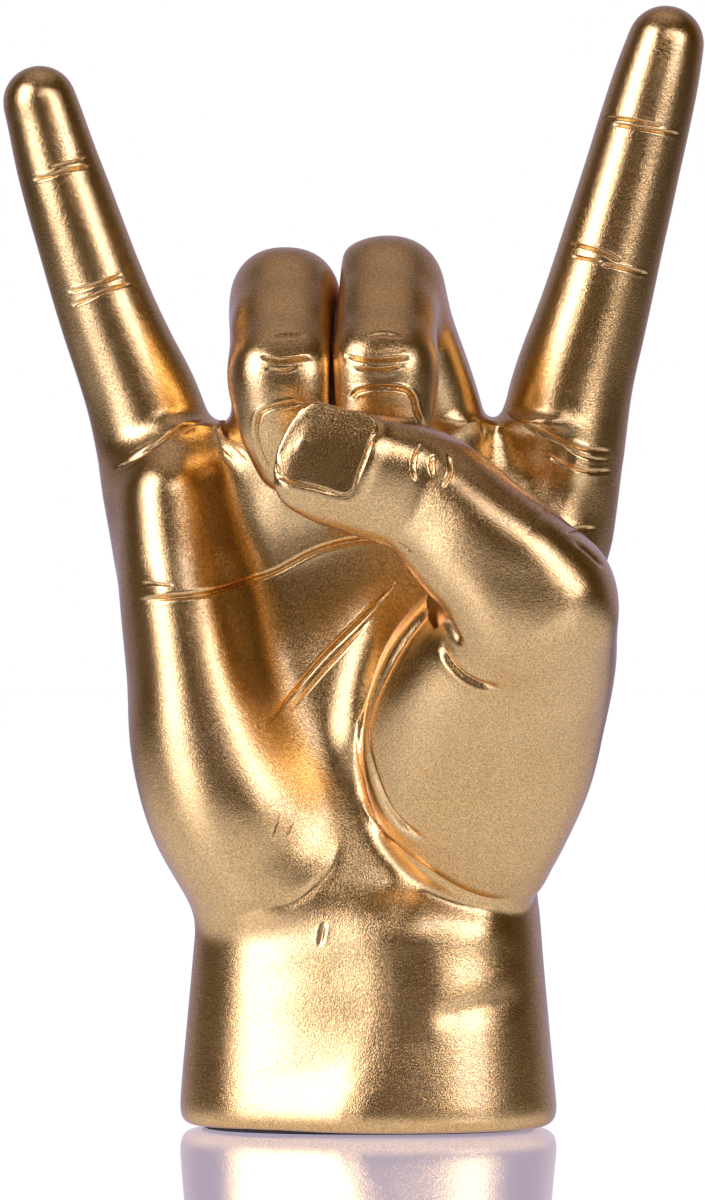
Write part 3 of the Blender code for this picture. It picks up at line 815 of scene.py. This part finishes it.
# Creases where the thumb leaves its ball
THUMB_ROOT = marks(
    (((443, 612), (452, 630), (463, 647)), 0.5, 0.7, 0.08, 0.3),
    (((440, 640), (452, 664), (474, 682), (503, 690)), 0.55, 0.8, 0.2, 0.25),
)
LITTLE_BASE = Stroke(((112, 469), (125, 464), (148, 450), (180, 430), (206, 419)), 0.3, 0.38, 0.05, 0.12)
INDEX_BASE = Stroke(((499, 405), (522, 423), (549, 436), (580, 448), (612, 452)), 0.3, 0.38, 0.05, 0.12)
FINGER_BASES = (LITTLE_BASE, INDEX_BASE) + marks(
    (((545, 453), (567, 466), (589, 472), (613, 471)), 0.3, 0.35, 0.05, 0.2),
    (((560, 444), (585, 457), (610, 461)), 0.22, 0.2, 0.03, 0.3),
    (((436, 419), (454, 412), (468, 406)), 0.25, 0.28, 0.04, 0.3),
    (((481, 420), (485, 432), (486, 442)), 0.3, 0.3, 0.04, 0.4),
    (((563, 532), (580, 529), (597, 529)), 0.3, 0.38, 0.05, 0.3),
    (((572, 540), (589, 552), (607, 570)), 0.35, 0.45, 0.07, 0.3),
    (((221, 446), (238, 462)), 0.2, 0.12, 0.02, 0.4),
    (((230, 446), (248, 463)), 0.2, 0.12, 0.02, 0.4),
    (((240, 447), (253, 460)), 0.2, 0.1, 0.02, 0.4),
)
HEEL_SCRATCHES = marks(
    (((270, 840), (275, 828), (281, 814)), 0.18, 0.1, 0.0, 0.4),
    (((285, 842), (290, 831), (295, 821)), 0.18, 0.08, 0.0, 0.4),
)
# The back: knuckles, the hollows between them, tendons and the folds over the wrist
KNUCKLES = marks(
    (((33.5, 113), (35.5, 121)), 6.0, -1.5, 0, 0),
    (((11.5, 115), (11.5, 122)), 6.0, -1.9, 0, 0),
    (((-12.5, 113), (-13.5, 120)), 5.5, -1.6, 0, 0),
    (((-33.5, 109), (-35.5, 116)), 5.2, -1.4, 0, 0),
    back=True,
)
HOLLOWS = marks(
    (((22.5, 112), (23.5, 126)), 3.2, 1.0, 0, 0.3),
    (((-1.0, 111), (-1.5, 125)), 3.0, 1.0, 0, 0.3),
    (((-24.0, 108), (-25.0, 122)), 3.0, 0.9, 0, 0.3),
    back=True,
)
TENDONS = marks(
    (((32.0, 108), (24.0, 84), (13.0, 58)), 2.0, -0.6, 0, 0.35),
    (((11.0, 110), (9.0, 84), (5.5, 56)), 2.0, -0.7, 0, 0.35),
    (((-12.0, 108), (-7.0, 82), (-1.5, 56)), 1.9, -0.6, 0, 0.35),
    (((-32.0, 104), (-21.0, 80), (-8.0, 56)), 1.8, -0.5, 0, 0.35),
    back=True,
)
WRIST_FOLDS = marks(
    (((-26.0, 46), (0.0, 43.5), (26.0, 46)), 0.5, 0.35, 0.06, 0.25),
    (((-18.0, 50), (2.0, 48.0), (20.0, 50)), 0.4, 0.22, 0.04, 0.3),
    back=True,
)
KNUCKLE_WRINKLES = (
    *wrinkles((35.0, 119.5), (0.2, 1.0), 9.0, (-1.8, 0.2, 2.0), 0.15),
    *wrinkles((11.5, 121.0), (0.0, 1.0), 9.0, (-1.8, 0.2, 2.0), 0.15),
    *wrinkles((-13.0, 119.0), (0.0, 1.0), 8.5, (-1.8, 0.2, 2.0), 0.15),
    *wrinkles((-35.0, 114.5), (-0.25, 1.0), 8.0, (-1.6, 0.2, 1.8), 0.15),
)
# The folds inside the joints of the straight fingers
INDEX_JOINTS = marks(
    (((601, 117), (625, 119), (648, 123), (664, 127)), 0.25, 0.32, 0.05, 0.15),
    (((612, 124), (632, 127), (655, 131), (681, 135)), 0.25, 0.35, 0.05, 0.15),
    (((568, 243), (585, 247), (603, 253), (621, 263)), 0.25, 0.35, 0.06, 0.15),
    (((572, 256), (587, 259), (603, 262)), 0.22, 0.28, 0.06, 0.2),
    (((600, 264), (621, 268), (649, 275)), 0.25, 0.35, 0.05, 0.15),
)
LITTLE_JOINTS = marks(
    (((32, 180), (50, 176), (68, 170), (92, 166)), 0.25, 0.35, 0.05, 0.12),
    (((48, 168), (68, 163), (88, 157)), 0.22, 0.22, 0.04, 0.2),
    (((66, 292), (85, 288), (103, 282), (123, 274)), 0.25, 0.32, 0.05, 0.15),
    (((70, 306), (90, 298), (108, 290), (132, 283)), 0.25, 0.35, 0.05, 0.15),
)
# The joints of the folded fingers, and last the outline of each one's nail
MIDDLE_FOLDS = marks(
    (((358, 339), (382, 334), (405, 338)), 0.35, 0.25, 0.05, 0.3),
    (((343, 355), (373, 361), (413, 357)), 0.32, 0.5, 0.1, 0.2),
    (((349, 368), (378, 371), (406, 366)), 0.3, 0.35, 0.08, 0.25),
    (((349, 400), (358, 391), (382, 388), (404, 390), (413, 398), (416, 410), (422, 426)),
     0.32, 0.4, 0.12, 0.1),
)
RING_FOLDS = marks(
    (((268, 338), (288, 335), (308, 336)), 0.35, 0.25, 0.05, 0.3),
    (((259, 356), (283, 361), (312, 357)), 0.32, 0.5, 0.1, 0.2),
    (((264, 369), (282, 371), (298, 368)), 0.28, 0.28, 0.06, 0.3),
    (((304, 402), (280, 406), (261, 413), (256, 430), (260, 450), (268, 470)), 0.32, 0.4, 0.12, 0.1),
)
THUMB_NAIL = (
    (299, 404), (335, 413), (373, 425), (369, 445), (360, 470),
    (348, 494), (315, 487), (279, 477), (276, 456), (281, 432),
)
THUMB_NAIL_PLANE = ((-5.0, -55.6, 118.0), (-0.1, -1.0, 0.06))
THUMB_FOLDS = marks(
    (((422, 442), (415, 455), (413, 469), (417, 484)), 0.28, 0.4, 0.06, 0.25),
    (((434, 454), (431, 464), (432, 476)), 0.3, 0.4, 0.06, 0.3),
    (((447, 452), (450, 463), (449, 475), (441, 489)), 0.28, 0.4, 0.06, 0.25),
    (((394, 541), (404, 547), (415, 553)), 0.25, 0.2, 0.03, 0.4),
)
STROKES = {
    "palm_and_wrist_skin": (
        *PALM_PADS, *PALM_LINES, *BALL_LINES, *HEEL_EDGES, *WRIST_RIPPLES, *THUMB_ROOT, *FINGER_BASES,
        *HEEL_SCRATCHES, *KNUCKLES, *HOLLOWS, *TENDONS, *WRIST_FOLDS, *KNUCKLE_WRINKLES,
    ),
    "index_finger_skin": (
        *INDEX_JOINTS,
        INDEX_BASE,
        Plate(nail((52.4, 190.6), (0.27, 0.96), 10.4, 12.0), 0.25, 0.4, 0.25, 0.25, back=True),
        *wrinkles((43.6, 157.6), (0.262, 0.96), 11.0, (-3.2, -1.9, -0.6, 0.7, 2.0, 3.2)),
        *wrinkles((48.9, 177.6), (0.262, 0.96), 9.5, (-1.6, -0.5, 0.6, 1.6), 0.15),
    ),
    "little_finger_skin": (
        *LITTLE_JOINTS,
        LITTLE_BASE,
        Plate(nail((-58.4, 180.6), (-0.3, 0.95), 9.0, 10.6), 0.25, 0.4, 0.25, 0.25, back=True),
        *wrinkles((-48.6, 151.4), (-0.33, 0.94), 10.0, (-2.6, -1.4, -0.2, 1.0, 2.2)),
        *wrinkles((-54.4, 168.4), (-0.32, 0.95), 8.5, (-1.4, -0.4, 0.6, 1.5), 0.15),
    ),
    "middle_finger_skin": MIDDLE_FOLDS,
    "ring_finger_skin": RING_FOLDS,
    "thumb_skin": (Plate(THUMB_NAIL, 0.2, 0.45, 0.3, 0.3, THUMB_NAIL_PLANE), *THUMB_FOLDS),
}


class Clay:
    """A piece being worked: its field, and the mesh on the field's zero surface."""

    def __init__(self, name, field, lattice):
        self.name = name
        self.lattice = lattice
        field = soften(field, round(SOFTENING / STEP**2))
        self.grids = [field, *np.gradient(field, STEP)]
        points, quads = net(field, lattice)
        self.mesh = make_mesh(name, settle(points, quads, self.grids, lattice), quads)

    def points(self):
        found = np.empty(len(self.mesh.vertices) * 3, dtype=np.float32)
        self.mesh.vertices.foreach_get("co", found)
        return found.reshape(-1, 3).astype(float) / MM

    def place(self, points):
        self.mesh.vertices.foreach_set("co", (points * MM).astype(np.float32).ravel())
        self.mesh.update()

    def refine(self, strokes, reach):
        """Splits the faces near strokes, and sets the new points on the surface."""
        points = self.points()
        near = np.zeros(len(points), dtype=bool)
        for stroke in strokes:
            index = stroke.near(points, stroke.reach)
            if len(index):
                near[index[stroke.distance(points[index])[0] < reach]] = True
        with editing(self.mesh) as bm:
            edges = [edge for edge in bm.edges if near[edge.verts[0].index] and near[edge.verts[1].index]]
            bmesh.ops.subdivide_edges(bm, edges=edges, cuts=1, use_grid_fill=True)
        self.place(pull(self.points(), self.grids, self.lattice, FINE_PULL))

    def work(self):
        """Moves the surface by the piece's strokes, with a finer mesh near its folds."""
        strokes = STROKES[self.name]
        for reach in FINE_REACHES:
            self.refine([stroke for stroke in strokes if stroke.width < WIDE], reach)
        points = self.points()
        slope = look(points, self.grids, self.lattice)[1]
        normals = slope / np.maximum(np.linalg.norm(slope, axis=1), TINY)[:, None]
        total = sum(stroke.lift(points, normals) for stroke in strokes)
        self.place(points + total[:, None] * normals)


def cut(mesh, *steps):
    """A mesh after Booleans, each with a tool of one or more bodies that keep clear of each other."""
    target = add_object(mesh.name, mesh)
    things = [target]
    for operation, tools in steps:
        joined = bpy.data.meshes.new("tool")
        with editing(joined) as bm:
            for tool in tools:
                bm.from_mesh(tool)
                bpy.data.meshes.remove(tool)
        other = add_object("tool", joined)
        things.append(other)
        modifier = target.modifiers.new("cut", "BOOLEAN")
        modifier.operation = operation
        modifier.solver = "MANIFOLD"
        modifier.object = other
    graph = bpy.context.evaluated_depsgraph_get()
    result = bpy.data.meshes.new_from_object(target.evaluated_get(graph))
    for thing in things:
        old = thing.data
        bpy.data.objects.remove(thing)
        bpy.data.meshes.remove(old)
    result.materials.clear()
    return result


def loft(rings):
    """A closed mesh through rings of points."""
    count = len(rings[0])
    points = np.concatenate(rings)
    faces = [tuple(range(count))[::-1], tuple(range(len(points) - count, len(points)))]
    for ring in range(len(rings) - 1):
        for i in range(count):
            j = (i + 1) % count
            low, high = ring * count, (ring + 1) * count
            faces.append((low + i, low + j, high + j, high + i))
    mesh = bpy.data.meshes.new("tool")
    mesh.from_pydata((points * MM).tolist(), [], faces)
    with editing(mesh) as bm:
        bmesh.ops.triangulate(bm, faces=bm.faces)
        bmesh.ops.recalc_face_normals(bm, faces=bm.faces)
    return mesh


def turned(start, along, profile):
    """A turned tool: radii at distances along its axis."""
    side = np.cross(along, ASIDE)
    side /= np.linalg.norm(side)
    other = np.cross(along, side)
    angles = 2 * math.pi * np.arange(TURNED_SIDES) / TURNED_SIDES
    ring = np.cos(angles)[:, None] * side + np.sin(angles)[:, None] * other
    return loft([start + along * run + radius * ring for run, radius in profile])


def rod(start, along, radius, first, last):
    return turned(start, along, ((first, radius), (last, radius)))


def inside_ring(height, inset):
    """A horizontal ring drawn in from the palm's sections."""
    left, right, front, back = palm_edges(height)
    angles = 2 * math.pi * np.arange(RING_SIDES) / RING_SIDES
    cosine, sine = np.cos(angles), np.sin(angles)
    across = np.sign(cosine) * np.abs(cosine) ** (2 / SQUARENESS)
    deep = np.sign(sine) * np.abs(sine) ** (2 / SQUARENESS)
    x = (left + right) / 2 + ((right - left) / 2 - inset) * across
    y = (front + back) / 2 + ((back - front) / 2 - inset) * deep
    return np.stack((x, y, np.full(RING_SIDES, height)), axis=1)


def stub_cut(name):
    """Covers what the digit holds beyond its seam."""
    point, along, reach = seam_of(name)
    return rod(point, along, reach + OVERCUT, 0, STUB + PALM_OVERCUT)


def separate(name, mesh):
    """Cuts a digit off at its seam, and gives it the spigot that sits in the palm."""
    point, along, reach = seam_of(name)
    way = pin_way(name)
    end = point - way * SPIGOT_LENGTH
    bore = SPIGOT_LENGTH + PIN_REACH[name] + FIT
    return cut(
        mesh,
        ("DIFFERENCE", [rod(point, -along, reach + OVERCUT, 0, STUB + DIGIT_OVERCUT)]),
        ("UNION", [rod(end, way, SPIGOT_RADIUS, 0, SPIGOT_LENGTH + SPIGOT_OVERLAP)]),
        ("DIFFERENCE", [rod(end, way, PIN_RADIUS + FIT, -CLEAR, bore)]),
    )


def hollow_out(mesh):
    """Cuts the palm at the seams and opens its sockets, its hollow and the recess of its base."""
    wide, narrow, depth = SPIGOT_RADIUS + FIT, PIN_RADIUS + FIT, SPIGOT_LENGTH + FIT
    profile = ((-CLEAR, wide), (depth, wide), (depth + SHOULDER, narrow), (depth + PIN_TAIL, narrow))
    bores = [turned(seam_of(name)[0], -pin_way(name), profile) for name in LIMBS]
    heights = np.linspace(RECESS_TOP - CLEAR, HOLLOW_TOP, HOLLOW_RINGS)
    bores.append(loft([inside_ring(height, WALL) for height in heights]))
    recess = loft([inside_ring(height, WALL - LEDGE_WIDTH) for height in (-CLEAR, RECESS_TOP)])
    # neighbours are cut in two rounds, because their tools touch
    return cut(
        mesh,
        ("DIFFERENCE", [stub_cut(name) for name in ("index_finger", "ring_finger", "thumb")]),
        ("DIFFERENCE", [stub_cut(name) for name in ("middle_finger", "little_finger")] + [recess]),
        ("DIFFERENCE", bores),
    )


def part_pair(name, field, lattice):
    """Keeps a folded finger on its side of the pair and clear of the thumb."""
    x, y, _ = lattice.axes
    plane = PAIR_PLANE + PAIR_TILT * (y - PAIR_FRONT)[None, :, None]
    wall = PAIR_SIDES[name] * (plane - x[:, None, None]) + PAIR_GAP
    field = smooth_max(field, wall, PAIR_BLEND)
    return smooth_max(field, THUMB_GAP - own_distance("thumb", lattice), TOUCH_BLEND)


def build_hand():
    """Each piece's name, the node that it replaces and its mesh."""
    lattice = Lattice(*HAND_BOX)
    palm = Clay("palm_and_wrist_skin", hand_distance(lattice), lattice)
    palm.work()
    yield palm.name, "palm_and_wrist_shell", hollow_out(palm.mesh)
    for name in LIMBS:
        lattice = digit_lattice(name)
        field = digit_distance(name, lattice)
        if name in PAIR_SIDES:
            field = part_pair(name, field, lattice)
        digit = Clay(name + "_skin", field, lattice)
        digit.work()
        yield digit.name, name, separate(name, digit.mesh)


def shade(mesh):
    """Smooth shading that stays crisp at the cut edges."""
    mesh.polygons.foreach_set("use_smooth", np.ones(len(mesh.polygons), dtype=bool))
    with editing(mesh) as bm:
        for edge in bm.edges:
            edge.smooth = edge.calc_face_angle(0.0) < SHARP_EDGE


def add_piece(name, node, mesh):
    shade(mesh)
    piece = add_object(name, mesh)
    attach(piece, "root")
    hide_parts(node)
    return piece


pieces = [add_piece(*row) for row in build_hand()]

# Finishes and colours
GOLD_DEEP = (0.77, 0.502, 0.163)
GOLD_PALE = (0.84, 0.568, 0.208)
GOLD_EDGE = (0.75, 0.62, 0.68, 1)
ROOM_DARK = (0.07, 0.043, 0.018)
ROOM_PALE = (0.36, 0.345, 0.54)
BACKDROP = (0.52, 0.50, 0.66)
CEILING = (0.46, 0.385, 0.49, 1)
BLACK = (0, 0, 0)
WHITE = (1, 1, 1)
SHEET_MIRROR = (0.66, 0.70, 0.63, 1)
# painted glow of the floor round the base, as the statue sees it, fading to the far tone: painted light
SHEET_PAINTED_GLOW = (0.66, 0.68, 0.80)
SHEET_FAR = (0.06, 0.055, 0.05)
SHEET_SEEN = (0.32, 0.28, 0.35, 1)
SHEET_SHADE = (0.12, 0.11, 0.13, 1)
FLOOR_SIZE = 6.0
WEAR = 0.08  # how far a mottled roughness varies to each side
# A Mix node's sockets for colours
MIX_A = 6
MIX_B = 7
MIX_COLOUR = 2


def nodes_of(owner):
    """Ways to add a node to an empty tree, to link two, and to join two shaders in a third node. A setting
    is a property, a socket's value, or a source: the node and the output that feed the socket."""
    owner.use_nodes = True
    tree = owner.node_tree
    tree.nodes.clear()

    def link(source, output, target, entry):
        tree.links.new(source.outputs[output], target.inputs[entry])

    def add(kind, **settings):
        node = tree.nodes.new("ShaderNode" + kind)
        for name, value in settings.items():
            socket = name.replace("_", " ")
            if hasattr(node, name):
                setattr(node, name, value)
            elif isinstance(value, tuple) and isinstance(value[0], bpy.types.Node):
                link(*value, node, socket)
            else:
                node.inputs[socket].default_value = value
        return node

    def join(kind, first, second, **settings):
        node = add(kind, **settings)
        entry = len(node.inputs) - 2
        link(first, 0, node, entry)
        link(second, 0, node, entry + 1)
        return node

    return add, link, join


def ramp(node, *stops):
    elements = node.color_ramp.elements
    while len(elements) < len(stops):
        elements.new(1.0)
    for element, (position, colour) in zip(elements, stops):
        element.position = position
        element.color = (*colour, 1)


def gold_lacquer():
    """Satin metallic lacquer: fine flakes, a slight orange peel and thin places that show warmer."""
    material = bpy.data.materials.new("gold_lacquer")
    add, _, _ = nodes_of(material)
    place = (add("TexCoord"), "Object")
    cloud = (add("TexNoise", Vector=place, Scale=55.0, Detail=4.0, Roughness=0.6), "Fac")
    flake = (add("TexNoise", Vector=place, Scale=3600.0, Detail=2.0, Roughness=0.75), "Fac")
    peel = (add("TexNoise", Vector=place, Scale=900.0, Detail=3.0, Roughness=0.7), "Fac")
    tone = add("ValToRGB", Fac=cloud)
    ramp(tone, (0.3, GOLD_DEEP), (0.7, GOLD_PALE))
    grain = add("MapRange", Value=flake, From_Min=0.3, From_Max=0.7, To_Min=0.5, To_Max=1.4)
    toned = add("VectorMath", operation="SCALE", Vector=(tone, "Color"), Scale=(grain, "Result"))
    rough = add("MapRange", Value=cloud, From_Min=0.3, From_Max=0.7, To_Min=0.19, To_Max=0.24)
    coarse = add("Bump", Height=peel, Strength=0.12, Distance=0.0002)
    fine = add("Bump", Height=flake, Normal=(coarse, "Normal"), Strength=0.7, Distance=0.00006)
    shader = add(
        "BsdfPrincipled", Base_Color=(toned, "Vector"), Roughness=(rough, "Result"), Normal=(fine, "Normal"),
        Metallic=1.0, Coat_Weight=0.4, Coat_Roughness=0.14, Specular_Tint=GOLD_EDGE,
    )
    add("OutputMaterial", Surface=(shader, "BSDF"))
    return material


def speckled(name, first, second, scale, rough, metallic, bump, stretch=(1, 1, 1)):
    """A plain material of two mottled tones, with a fine relief."""
    material = bpy.data.materials.new(name)
    add, _, _ = nodes_of(material)
    span = add("Mapping", Vector=(add("TexCoord"), "Object"), Scale=stretch)
    mottle = (add("TexNoise", Vector=(span, "Vector"), Scale=scale, Detail=6.0, Roughness=0.65), "Fac")
    tone = add("ValToRGB", Fac=mottle)
    ramp(tone, (0.35, first), (0.65, second))
    wear = add("MapRange", Value=mottle, To_Min=rough - WEAR, To_Max=rough + WEAR)
    relief = add("Bump", Height=mottle, Strength=bump, Distance=0.0001)
    shader = add(
        "BsdfPrincipled", Base_Color=(tone, "Color"), Roughness=(wear, "Result"), Normal=(relief, "Normal"),
        Metallic=metallic,
    )
    add("OutputMaterial", Surface=(shader, "BSDF"))
    return material


def finish_nodes():
    """Finishes for the parts that the statue hides: steel pins, plaster, bare resin and rubber."""
    steel = speckled("steel", (0.42, 0.42, 0.43), (0.60, 0.60, 0.61), 900.0, 0.35, 1.0, 0.4, (1, 1, 0.05))
    finishes = {
        "weighted_core": speckled("plaster", (0.74, 0.71, 0.65), (0.88, 0.86, 0.81), 700.0, 0.9, 0.0, 0.8),
        "base_plug": speckled("raw_resin", (0.68, 0.63, 0.52), (0.80, 0.76, 0.66), 260.0, 0.6, 0.0, 0.4),
        "base_pad": speckled("rubber", (0.018, 0.018, 0.019), (0.045, 0.044, 0.043), 1200.0, 0.75, 0.0, 0.5),
    }
    for name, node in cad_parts.items():
        if name.endswith("_pin") or name in finishes:
            node.data.materials.clear()
            node.data.materials.append(finishes.get(name, steel))


def add_camera():
    data = bpy.data.cameras.new("camera")
    data.sensor_width = 36.0  # along the height of the picture
    data.lens = data.sensor_width * FOCAL_PIXELS / IMAGE_HEIGHT
    data.clip_start = 0.05
    data.clip_end = 10.0
    camera = add_object("camera", data)
    camera.location = Vector((CAMERA_X, -CAMERA_DISTANCE, CAMERA_Z)) * MM
    camera.rotation_euler = (math.pi / 2, 0.0, 0.0)
    bpy.context.scene.camera = camera


# Lamp panels: degrees round from the front of the palm towards +X, degrees up, metres away, metres wide and
# high, and radiance
LAMPS = {
    "left_softbox": (-49, 21, 1.5, 0.78, 1.3, 5.0),
    "right_softbox": (42, 15, 1.5, 0.55, 0.6, 4.6),
    "middle_card": (20, 29, 1.5, 0.85, 0.27, 3.4),
}
LAMP_TINT = (0.93, 0.91, 1.4)
LAMP_AIM = Vector((0.0, 0.0, 0.1))


def add_lamp(name, azimuth, elevation, distance, width, height, radiance):
    lamp = bpy.data.lights.new(name, "AREA")
    lamp.shape = "RECTANGLE"
    lamp.size = width
    lamp.size_y = height
    lamp.energy = radiance * math.pi * width * height
    lamp.color = LAMP_TINT
    panel = add_object(name, lamp)
    a, e = math.radians(azimuth), math.radians(elevation)
    way = Vector((math.sin(a) * math.cos(e), -math.cos(a) * math.cos(e), math.sin(e)))
    panel.location = LAMP_AIM + distance * way
    panel.rotation_euler = (LAMP_AIM - panel.location).to_track_quat("-Z", "Y").to_euler()
    panel.visible_camera = False


def add_world():
    """White for the camera. Round the object, a dark room in front, a dim ceiling and a pale backdrop."""
    world = bpy.data.worlds.new("studio")
    bpy.context.scene.world = world
    add, link, join = nodes_of(world)
    parts = add("SeparateXYZ", Vector=(add("TexCoord"), "Generated"))
    depth = add("ValToRGB", Fac=(add("MapRange", Value=(parts, "Y"), From_Min=-1.0), "Result"))
    ramp(depth, (0.0, ROOM_DARK), (0.64, ROOM_DARK), (0.86, ROOM_PALE), (0.97, BACKDROP))
    height = add("ValToRGB", Fac=(parts, "Z"))
    ramp(height, (0.0, BLACK), (0.78, BLACK), (1.0, WHITE))
    mixed = add("Mix", data_type="RGBA", Factor=(height, "Color"))
    mixed.inputs[MIX_B].default_value = CEILING
    link(depth, "Color", mixed, MIX_A)
    room = add("Background", Color=(mixed, MIX_COLOUR))
    path = add("LightPath")
    plain = add("Math", operation="MAXIMUM")
    link(path, "Is Camera Ray", plain, 0)
    link(path, "Is Singular Ray", plain, 1)
    both = join("MixShader", room, add("Background", Color=(*WHITE, 1)), Fac=(plain, "Value"))
    add("OutputWorld", Surface=(both, "Shader"))


def add_floor():
    """A white glossy sheet: it mirrors the base of the statue and keeps its shadow. To the rays that light
    the statue it also glows: a painted pool of light round the base that fades with distance.
    """
    mesh = bpy.data.meshes.new("floor")
    with editing(mesh) as bm:
        bmesh.ops.create_grid(bm, x_segments=2, y_segments=2, size=FLOOR_SIZE)
    floor = add_object("floor", mesh)
    material = bpy.data.materials.new("white_sheet")
    add, _, join = nodes_of(material)
    # painted pool of light: the sheet's glow is brightest near the base and dims further out, for the rays
    # that light the statue
    reach = add("VectorMath", operation="LENGTH", Vector=(add("TexCoord"), "Object"))
    painted_glow_pool = add("ValToRGB", Fac=(reach, "Value"))
    ramp(painted_glow_pool, (0.28, SHEET_PAINTED_GLOW), (0.62, SHEET_FAR))
    tone = (painted_glow_pool, "Color")
    lit_with_painted_glow = join("AddShader", add("BsdfDiffuse", Color=tone), add("Emission", Color=tone, Strength=0.58))
    gloss = add("BsdfGlossy", Color=(*WHITE, 1), Roughness=0.05)
    other = join("MixShader", lit_with_painted_glow, gloss, Fac=(add("Fresnel", IOR=1.42), "Fac"))
    sheet = join("AddShader", add("Emission", Color=SHEET_SEEN), add("BsdfDiffuse", Color=SHEET_SHADE))
    seen = join("AddShader", sheet, add("BsdfGlossy", Color=SHEET_MIRROR, Roughness=0.0))
    both = join("MixShader", other, seen, Fac=(add("LightPath"), "Is Camera Ray"))
    add("OutputMaterial", Surface=(both, "Shader"))
    mesh.materials.append(material)


gold = gold_lacquer()
for piece in pieces:
    piece.data.materials.append(gold)
finish_nodes()
add_camera()
add_world()
add_floor()
for name, settings in LAMPS.items():
    add_lamp(name, *settings)
bpy.context.scene.view_settings.view_transform = "Standard"
